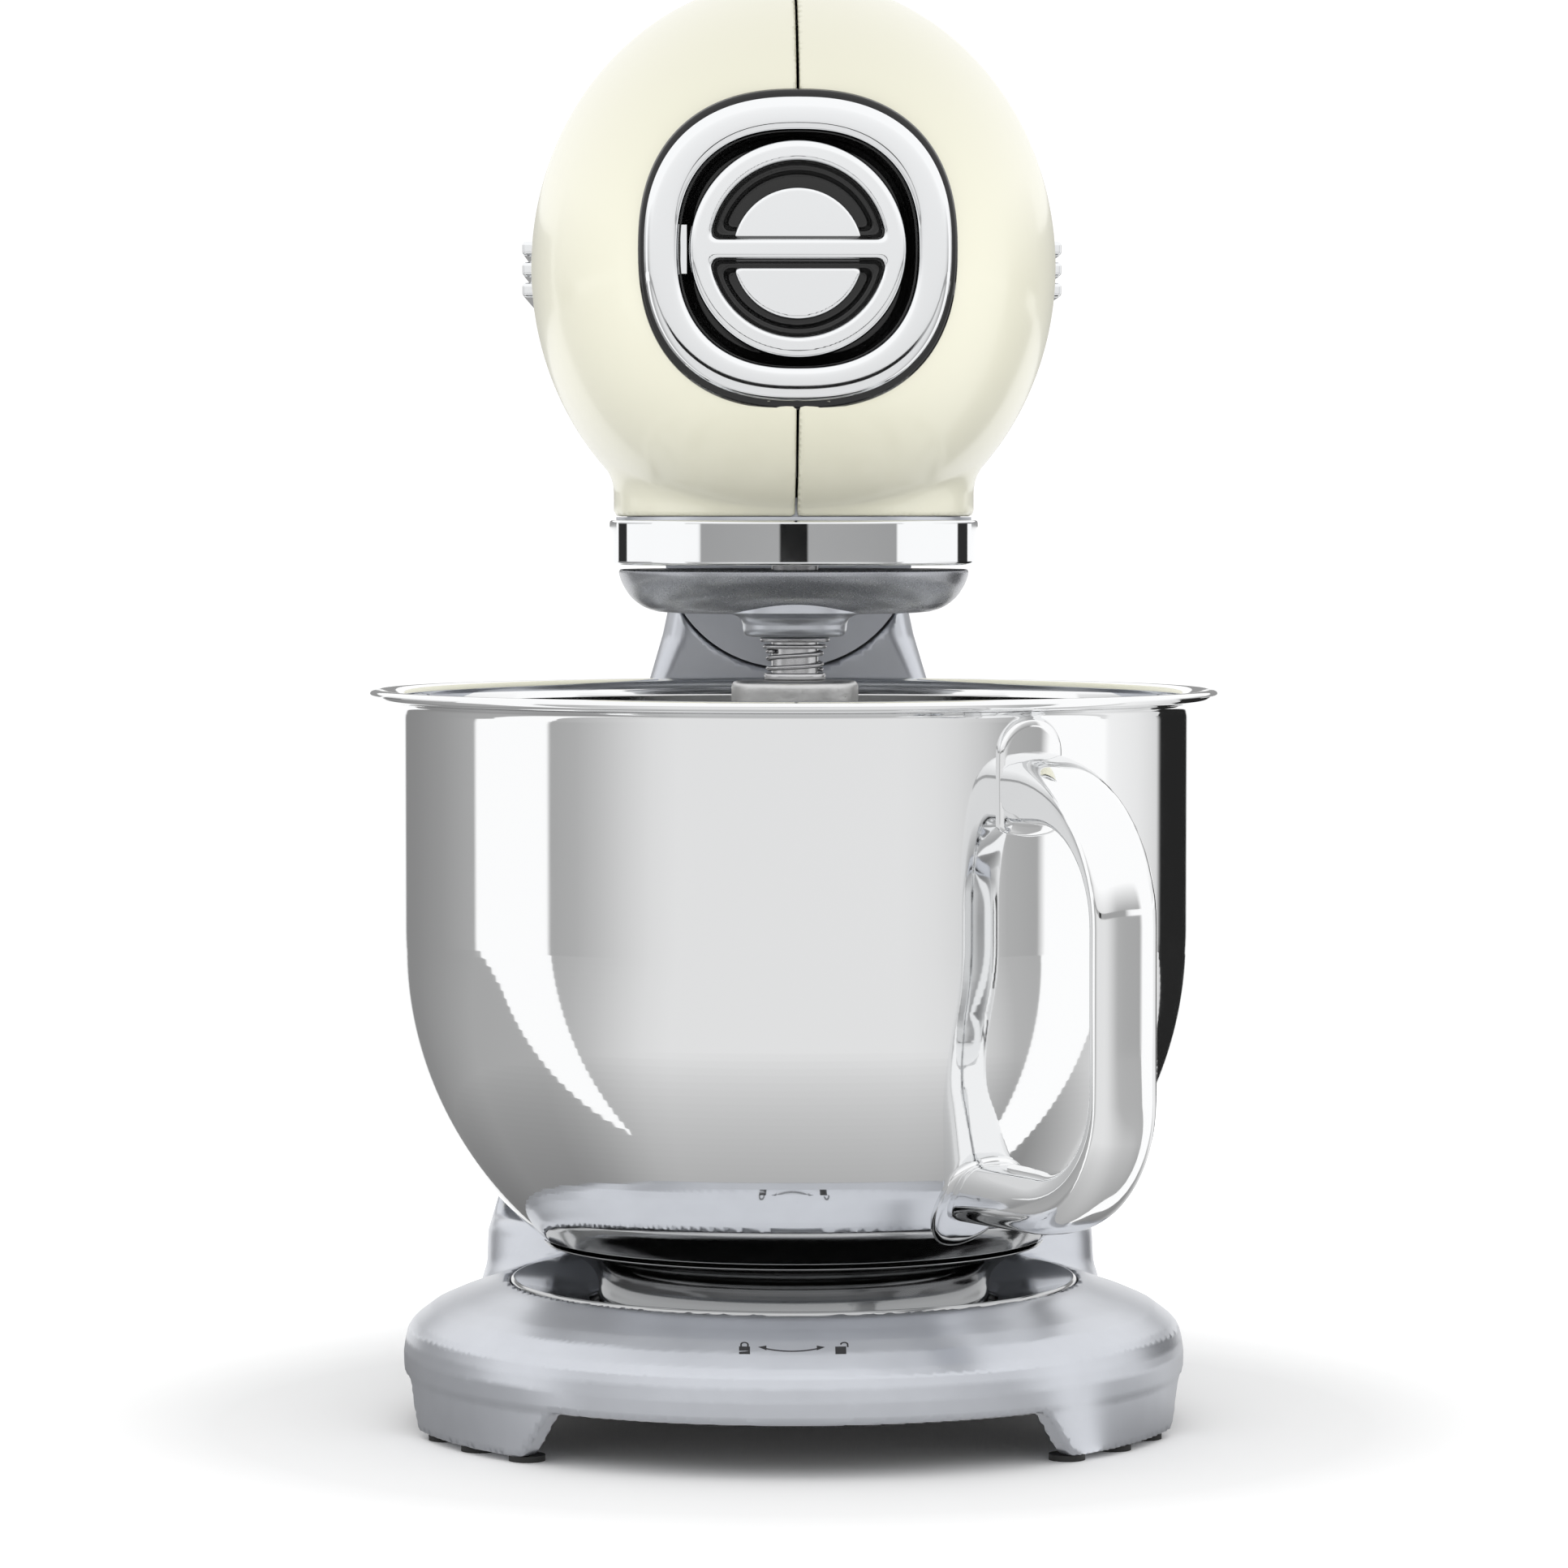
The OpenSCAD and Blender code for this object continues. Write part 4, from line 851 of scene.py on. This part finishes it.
def beater_field(x, y, z):
    ax = np.abs(x)
    outer = polygon_distance(ax, z, beater_outline(0) + [(-20, 174), (-20, BEATER_BOTTOM)])
    window = [p for p in beater_outline(9.0) if p[0] > 4.5]
    hole = polygon_distance(ax, z, [(4.5, BEATER_BOTTOM + 9)] + window + [(4.5, 156)])
    sheet = smax(outer, -hole, 3.0)
    rib = polygon_distance(ax, z, [(-8, 120), (-8, 111), (66, 84), (70, 92)])
    rib = np.maximum(rib, outer)
    sheet = smin(sheet, rib, 3.0)
    plate = smax(sheet, np.abs(y - TOOL_U) - 4.5, 4.0)
    r = np.hypot(x, y - TOOL_U)
    hub = smax(smax(r - 16.3, z - 194.3, 2.0), 160 - z, 9.0)
    whole = smin(plate, hub, 7.0)
    bore = np.maximum(r - BEATER_BORE_R, BEATER_BORE_Z - z)
    slot = np.maximum(np.maximum(np.abs(y - TOOL_U) - 1.8, ax - 10.6), np.maximum(z - 182.8, 173.6 - z))
    return np.maximum(np.maximum(whole, -bore), -slot)


beater = solid("flat_beater_fine", beater_field, (-76, TOOL_U - 20, 52), (76, TOOL_U + 20, 197),
               cell(1.0, 2.0))
stand_in(beater, "burnished_aluminium", "beater", "flat_beater")

# ---------------------------------------------------------------- hub at the nose

FACE_U = -84.0


def hub_outline(w, h, power=HUB_POWER):
    return lambda inset: squircle(w - inset, h - inset, power)


gasket = face_ring("hub_gasket_fine", hub_outline(39.5, 39.6),
                   [(0, -68), (0, -78.2), (0.1, -79.4), (0.5, -80.5), (1.1, -81), (4.4, -81), (4.4, -68)],
                   n=240)
stand_in(gasket, "gloss_black", "head", "hub_gasket")
bezel_profile = ([(0.0, -72), (0.0, -80.8)]
                 + smooth_path([(0.05, -81.6), (0.5, -82.9), (1.5, -83.75), (2.9, FACE_U), (6.6, FACE_U),
                                (7.7, -83.75), (8.3, -83.2), (8.6, -82.2)], 5)
                 + [(8.65, -78), (8.65, -72)])
bezel = face_ring("hub_bezel_fine", hub_outline(38.1, 37.6), bezel_profile, n=240)
stand_in(bezel, "chrome_trim", "head", "hub_bezel")
cup = face_ring("hub_recess_fine", hub_outline(29.5, 29.3),
                [(0, -81.2), (0.5, -81.2), (0.7, -77.4), (1.3, -76.9), (1.5, -73), (3, -72.2), (22, -72.2),
                 (22, -69.4), (0, -69.4)], n=200)
stand_in(cup, "gloss_black", "head", "hub_recess")

KNOB_R = 26.8
DISH_R = 21.7
BAR_HALF = 2.4
BED_R = 16.3
BED_SINK = 0.9
DISH_FLOOR = -75.8


def dish_shape(x, z):
    """Distance to the outline of the two finger hollows, either side of the bar."""
    return smax(np.hypot(x, z - HUB_Z) - DISH_R, BAR_HALF - np.abs(z - HUB_Z), 2.6)


def knob_field(x, y, z):
    r = np.hypot(x, z - HUB_Z)
    disc = smax(smax(r - KNOB_R, y + 72.3, 0.8), KNOB_FRONT_U - y, 1.8)
    whole = smax(disc, -smax(dish_shape(x, z), y - DISH_FLOOR, 0.4), 1.0)
    stem = np.maximum(r - 6.0, np.maximum(y + 67.0, -74 - y))
    return np.minimum(whole, stem)


def liner_field(x, y, z):
    """Black walls of the hollows, falling in two steps towards the beds."""
    inside = -dish_shape(x, z)
    front = -81.6 + 2.6 * ease(inside / 1.2) + 2.4 * ease((inside - 2.0) / 1.2)
    return smax(smax(0.02 - inside, front - y, 0.4), y - DISH_FLOOR + 0.1, 0.3) * 0.6


def bed_field(x, y, z):
    """Polished half-moon beds at the bottom of the hollows."""
    low = z - HUB_Z + BED_SINK
    half = smax(np.hypot(x, low) - BED_R, 3.0 - np.abs(low + BED_SINK * 0.4), 2.0)
    return smax(smax(half, -79.4 - y, 0.8), y - DISH_FLOOR, 0.3)


for name, field, slot, grid in (("hub_knob_fine", knob_field, "chrome_trim", 0.45),
                                ("hub_knob_walls", liner_field, "gloss_black", 0.4),
                                ("hub_knob_beds", bed_field, "chrome_trim", 0.45)):
    part = solid(name, field, (-29, -86, HUB_Z - 29), (29, -66, HUB_Z + 29), cell(grid, 2 * grid))
    stand_in(part, slot, "knob", *(["hub_knob"] if name == "hub_knob_fine" else []))

# ---------------------------------------------------------------- speed slide, side trims


def trim_field(x, y, z):
    top = HEAD_Z + HEAD_HALF_H * np.sqrt(np.maximum(0, 1 - (x / HEAD_HALF_W) ** 2))
    plan = rounded_rect(x, y, 0, 84, 11.9, 66, 5.9)
    plate = smax(smax(plan, z - top, 0.8), top - 3.8 - z, 0.5)
    slot = smax(rounded_rect(x, y, 0, 84, 2.8, 56, 2.7), 360 - z, 0.5)
    return smax(plate, -slot, 0.5)


trim = solid("speed_trim_fine", trim_field, (-13, 16, 370), (13, 152, 377), cell(0.8, 1.5))
stand_in(trim, "chrome_trim", "head", "speed_trim")

LEVER_U = float((LEVER_LOW[1] + LEVER_HIGH[1]) / 2) - AXIS_Y


def lever_field(x, y, z):
    v = y - LEVER_U
    stem = rounded_box(x, v, z, (0, 0, 371), (2.3, 4, 5), 0.5)
    grip = rounded_box(x, v, z, (0, 0, 378.2), (8, 8 - 0.35 * np.maximum(z - 376, 0), 2.8), 1.6)
    ridge = 0.35 * np.cos(v * math.pi / 1.6) * (z > 379) * (np.abs(v) < 5.5)
    return smin(stem, grip + ridge * 0.4, 0.8)


lever = solid("speed_lever_fine", lever_field, (-9.5, LEVER_U - 9.5, 365), (9.5, LEVER_U + 9.5, 382),
              cell(0.5, 1.0))
stand_in(lever, "chrome_trim", "lever", "speed_lever")


def badge_field(side):
    def field(x, y, z):
        ax = side * x
        whole = rounded_box(ax, y, z, (68.7, 81, HUB_Z), (0.8, 42, 6), 0.4)
        for k in (-1, 0, 1):
            bar = rounded_box(ax, y, z, (69.4, 81, HUB_Z + 5.5 * k), (2.3, 45, 1.9), 0.9)
            whole = np.minimum(whole, bar)
        return whole

    return field


for side, word in ((1, "right"), (-1, "left")):
    x_low, x_high = sorted((65.5 * side, 73.0 * side))
    badge = solid(f"side_trim_{word}_fine", badge_field(side), (x_low, 34, 291), (x_high, 128, 313),
                  cell(0.55, 1.0))
    stand_in(badge, "chrome_trim", "head", f"side_trim_{word}")

# ---------------------------------------------------------------- marks on the base

MARK_Z = 31.6
# Direction of the slope there, and so of the paint's lift from it
SLOPE_RUN, SLOPE_RISE = 0.465, 0.885


def slope_point(x, t, lift):
    """Point on the front slope of the base, x sideways and t up the slope from the marks' middle."""
    z = MARK_Z + SLOPE_RUN * t
    r = BASE_R - float(steps(z, BASE_PROFILE)) + SLOPE_RUN * lift
    return np.array([x, AXIS_Y - math.sqrt(r * r - x * x), z + SLOPE_RISE * lift])


def mark(outline, verts, faces):
    """Adds one closed sliver of paint with the given outline of (x, t)."""
    start, n = len(verts), len(outline)
    for lift in (-0.1, 0.05):
        verts += [slope_point(x, t, lift) for x, t in outline]
    faces += [tuple(range(start + n, start + 2 * n)), tuple(range(start + n - 1, start - 1, -1))]
    faces += [(start + i, start + (i + 1) % n, start + n + (i + 1) % n, start + n + i) for i in range(n)]


def stroke(points, width):
    """Outline of a line of the given width through the points."""
    p = np.array(points, float)
    along = np.gradient(p, axis=0)
    along /= np.linalg.norm(along, axis=1, keepdims=True)
    side = np.stack([-along[:, 1], along[:, 0]], 1) * width / 2
    return list(map(tuple, p - side)) + list(map(tuple, (p + side)[::-1]))


def lock_marks():
    """Closed padlock, double arrow and open padlock: which way the bowl turns."""
    verts, faces = [], []
    for x, leg, lean in ((-13.3, 0.2, 0.0), (10.4, 1.6, 0.9)):
        mark([(x - 1.35, -2.6), (x + 1.35, -2.6), (x + 1.35, 0.4), (x - 1.35, 0.4)], verts, faces)
        bow = arc(x + lean, 1.2, 0.85, 180, 0, 10)
        mark(stroke([(x - 0.85 + lean, leg - 0.2)] + bow + [(x + 0.85 + lean, 0.2)], 0.42), verts, faces)
    curve = [(x, -1.3 + 1.6 * ((x + 1.7) / 8) ** 2) for x in np.linspace(-8.4, 5.0, 15)]
    mark(stroke(curve, 0.4), verts, faces)
    for x, way in ((-9.9, 1), (6.5, -1)):
        mark([(x, 0.3), (x + way * 2.0, -0.9), (x + way * 2.0, 0.9)][::way], verts, faces)
    return new_object("turn_marks", verts, faces, smooth=False)


marks = lock_marks()
stand_in(marks, "mark_paint", "stand")

# ---------------------------------------------------------------- studio

WORLD = 1.1
FLOOR_R = 2.6
CARD_R = 1.3
CARD_TOP = 0.6
PAPER_Z = 0.0004


def ring_of(radius, z, n=96):
    """Level ring about the bowl's axis, from metres."""
    return [(radius * math.cos(t) / MM, radius * math.sin(t) / MM, z / MM)
            for t in np.linspace(0, 2 * math.pi, n, endpoint=False)]


def surface_of(name, rings):
    """Open surface through rings drawn about the bowl's axis, with its origin on that axis."""
    obj = loft(name, rings, caps=(False, False), smooth=False)
    obj.location = (0, AXIS_Y * MM, 0)
    return obj


def shader_nodes(obj, name):
    mat = bpy.data.materials.new(name)
    mat.use_nodes = True
    mat.node_tree.nodes.clear()
    obj.data.materials.append(mat)
    return mat.node_tree.nodes, mat.node_tree.links


def add(nodes, kind, **inputs):
    node = nodes.new(kind)
    for key, value in inputs.items():
        node.inputs[key.replace("_", " ")].default_value = value
    return node


def distance_from_axis(nodes, links):
    place = nodes.new("ShaderNodeTexCoord")
    length = nodes.new("ShaderNodeVectorMath")
    length.operation = "LENGTH"
    links.new(place.outputs["Object"], length.inputs[0])
    return length.outputs["Value"]


# The floor's pale paint glows away from the mixer, a painted light that lights the mixer from below and keeps
# the floor white; it fades out far from the mixer, so that it has no edge and no horizon
floor = surface_of("floor", [ring_of(r, 0.0) for r in (0.001, 0.4, 0.9, 1.6, FLOOR_R)])
nodes, links = shader_nodes(floor, "studio_floor")
paint = add(nodes, "ShaderNodeBsdfDiffuse", Color=(0.93, 0.93, 0.93, 1))
floor_glow = add(nodes, "ShaderNodeEmission")
lift = add(nodes, "ShaderNodeMapRange", From_Min=0.15, From_Max=0.34, To_Max=0.55)
both = nodes.new("ShaderNodeAddShader")
clear = nodes.new("ShaderNodeBsdfTransparent")
fade = add(nodes, "ShaderNodeMapRange", From_Min=0.7, From_Max=FLOOR_R - 0.2)
mix = nodes.new("ShaderNodeMixShader")
out = nodes.new("ShaderNodeOutputMaterial")
outward = distance_from_axis(nodes, links)
links.new(outward, fade.inputs["Value"])
links.new(fade.outputs["Result"], mix.inputs["Fac"])
links.new(outward, lift.inputs["Value"])
links.new(lift.outputs["Result"], floor_glow.inputs["Strength"])
links.new(paint.outputs["BSDF"], both.inputs[0])
links.new(floor_glow.outputs["Emission"], both.inputs[1])
links.new(both.outputs["Shader"], mix.inputs[1])
links.new(clear.outputs["BSDF"], mix.inputs[2])
links.new(mix.outputs["Shader"], out.inputs["Surface"])

world = bpy.data.worlds.new("studio")
bpy.context.scene.world = world
world.use_nodes = True
world.node_tree.nodes["Background"].inputs["Color"].default_value = (1, 1, 1, 1)
world.node_tree.nodes["Background"].inputs["Strength"].default_value = WORLD


def glow_material(obj, shades):
    """Emission by azimuth round the mixer. shades is (azimuth from the front, brightness)."""
    nodes, links = shader_nodes(obj, obj.name + "_glow")
    place = nodes.new("ShaderNodeTexCoord")
    turn = nodes.new("ShaderNodeMapping")
    turn.inputs["Rotation"].default_value = (0, 0, math.radians(90))
    sweep = nodes.new("ShaderNodeTexGradient")
    sweep.gradient_type = "RADIAL"
    ramp = nodes.new("ShaderNodeValToRGB")
    stops = ramp.color_ramp.elements
    while len(stops) < len(shades):
        stops.new(0.5)
    for stop, (azimuth, shade) in zip(stops, shades):
        stop.position = azimuth / 360 + 0.5
        stop.color = (shade / WORLD, shade / WORLD, shade / WORLD, 1)
    glow = add(nodes, "ShaderNodeEmission", Strength=WORLD)
    out = nodes.new("ShaderNodeOutputMaterial")
    links.new(place.outputs["Object"], turn.inputs["Vector"])
    links.new(turn.outputs["Vector"], sweep.inputs["Vector"])
    links.new(sweep.outputs["Fac"], ramp.inputs["Fac"])
    links.new(ramp.outputs["Color"], glow.inputs["Color"])
    links.new(glow.outputs["Emission"], out.inputs["Surface"])
    return nodes, links, glow, out


def only_reflected(obj):
    """Cards that only reflections see."""
    obj.visible_camera = False
    obj.visible_shadow = False
    obj.visible_diffuse = False
    return obj


# What only reflections see, as (azimuth from the front, brightness): a wall of softboxes and dark cards, the
# pale paper on the floor, and a narrower card at the height of the chrome band
WALL = [(-180, 1.1), (-143.2, 1.1), (-142.6, 0.26), (-132, 0.28), (-116, 0.34), (-103, 0.42), (-99, 0.43),
        (-98.5, 1.1), (-71.1, 1.1), (-70.6, 0.42), (-62, 0.47), (-54.5, 0.57), (-47, 0.69), (-39.5, 0.79),
        (-32, 0.84), (28, 0.84), (37.5, 0.81), (44, 0.76), (51.5, 0.65), (59, 0.47), (70, 0.41), (70.6, 1.1),
        (94.6, 1.1), (96, 0.98), (110, 0.89), (122, 0.75), (122.6, 0.02), (146.8, 0.02), (147.4, 1.1),
        (180, 1.1)]
PAPER = [(-180, 1.1), (-143.2, 1.1), (-142.6, 0.26), (-132, 0.28), (-116, 0.34), (-99, 0.42), (-70, 0.45),
         (-62, 0.5), (-54.5, 0.58), (-47, 0.69), (-39.5, 0.79), (-32, 0.84), (28, 0.84), (37.5, 0.81),
         (44, 0.76), (51.5, 0.65), (59, 0.5), (70, 0.45), (94, 0.8), (96, 0.98), (110, 0.89), (122, 0.75),
         (147, 0.9), (147.4, 1.1), (180, 1.1)]
BAND = [(-180, 1.1), (-141.6, 1.1), (-141, 0.03), (-127, 0.03), (-126.6, 1.1), (-60.6, 1.1), (-60, 0.38),
        (-9.6, 0.42), (-9.4, 0.01), (7.5, 0.01), (7.7, 0.42), (65, 0.38), (65.5, 1.1), (121.5, 1.1),
        (122, 0.03), (137, 0.03), (137.5, 1.1), (180, 1.1)]
# Strips on the paper, as brightness and corners about the bowl's axis
STRIPS = {"strip_left": (1.1, [(-105, -107), (-600, -39), (-880, 30), (-1389, 207), (-1324, -467)]),
          "strip_right": (1.1, [(62, -68), (1324, -467), (1400, 112)]),
          "strip_dark": (0.02, [(330, 235), (1190, 764), (753, 1190), (235, 340)])}

wall = surface_of("room_wall", [ring_of(CARD_R, z) for z in (PAPER_Z, 0.2, 0.4, CARD_TOP)])
nodes, links, glow, out = glow_material(only_reflected(wall), WALL)
white = add(nodes, "ShaderNodeEmission", Strength=WORLD)
place = nodes.new("ShaderNodeTexCoord")
split = nodes.new("ShaderNodeSeparateXYZ")
fade = add(nodes, "ShaderNodeMapRange", From_Min=0.26, From_Max=CARD_TOP)
mix = nodes.new("ShaderNodeMixShader")
links.new(place.outputs["Object"], split.inputs["Vector"])
links.new(split.outputs["Z"], fade.inputs["Value"])
links.new(fade.outputs["Result"], mix.inputs["Fac"])
links.new(glow.outputs["Emission"], mix.inputs[1])
links.new(white.outputs["Emission"], mix.inputs[2])
links.new(mix.outputs["Shader"], out.inputs["Surface"])

paper = surface_of("room_paper", [ring_of(r, PAPER_Z) for r in (0.01, 0.1, 0.3, CARD_R)])
nodes, links, glow, out = glow_material(only_reflected(paper), PAPER)
# The paper glows dimmer close to the mixer: painted shadow of the mixer on the floor, as the bowl's lower half
# reflects it
dim = add(nodes, "ShaderNodeMapRange", From_Min=0.1, From_Max=0.27, To_Min=0.55 * WORLD, To_Max=WORLD)
links.new(distance_from_axis(nodes, links), dim.inputs["Value"])
links.new(dim.outputs["Result"], glow.inputs["Strength"])

band_card = surface_of("band_card", [ring_of(CARD_R - 0.02, 0.205), ring_of(CARD_R - 0.02, 0.262)])
glow_material(only_reflected(band_card), BAND)

# A dim card behind, which the bowl's rim reflects
BACK_R, BACK_HALF_ANGLE, BACK_PANES = 1260, 0.6, 24
sweep = np.linspace(-BACK_HALF_ANGLE, BACK_HALF_ANGLE, BACK_PANES + 1)
back = [(BACK_R * math.sin(t), BACK_R * math.cos(t), z) for z in (232, 420) for t in sweep]
panes = [(i, i + 1, i + BACK_PANES + 2, i + BACK_PANES + 1) for i in range(BACK_PANES)]
back_card = new_object("back_card", back, panes, smooth=False)
back_card.location = (0, AXIS_Y * MM, 0)
glow_material(only_reflected(back_card), [(-180, 0.32), (180, 0.32)])

for name, (shade, corners) in STRIPS.items():
    strip = new_object(name, [(x, y, 0.8) for x, y in corners], [tuple(range(len(corners)))], smooth=False)
    strip.location = (0, AXIS_Y * MM, 0)
    glow_material(only_reflected(strip), [(-180, shade), (180, shade)])


def area_light(name, place, aim, size, power):
    data = bpy.data.lights.new(name, "AREA")
    data.shape = "RECTANGLE"
    data.size, data.size_y = size
    data.energy = power
    obj = bpy.data.objects.new(name, data)
    bpy.context.scene.collection.objects.link(obj)
    obj.location = place
    obj.rotation_euler = (Vector(aim) - Vector(place)).to_track_quat("-Z", "Y").to_euler()
    obj.visible_glossy = False
    return obj


area_light("key_top", place=(0.0, -0.4, 2.0), aim=(0, 0, 0.1), size=(1.8, 1.8), power=1.0)
for name, x in (("side_left", -1.5), ("side_right", 1.5)):
    area_light(name, place=(x, -0.35, 0.6), aim=(0, 0, 0.2), size=(0.55, 1.6), power=1.5)

SENSOR_MM, LENS_MM = 36, 135.671
CAMERA_PLACE = (-0.020, AXIS_Y * MM - 1.540, 0.2355)
LOOKS_DOWN, LOOKS_ASIDE = 2.563, -0.65

camera_data = bpy.data.cameras.new("camera")
camera_data.lens = LENS_MM
camera_data.sensor_width = SENSOR_MM
camera_data.clip_end = 100
camera = bpy.data.objects.new("camera", camera_data)
bpy.context.scene.collection.objects.link(camera)
camera.location = CAMERA_PLACE
camera.rotation_euler = (math.radians(90 - LOOKS_DOWN), 0, math.radians(LOOKS_ASIDE))
bpy.context.scene.camera = camera

bpy.context.scene.view_settings.view_transform = "Standard"
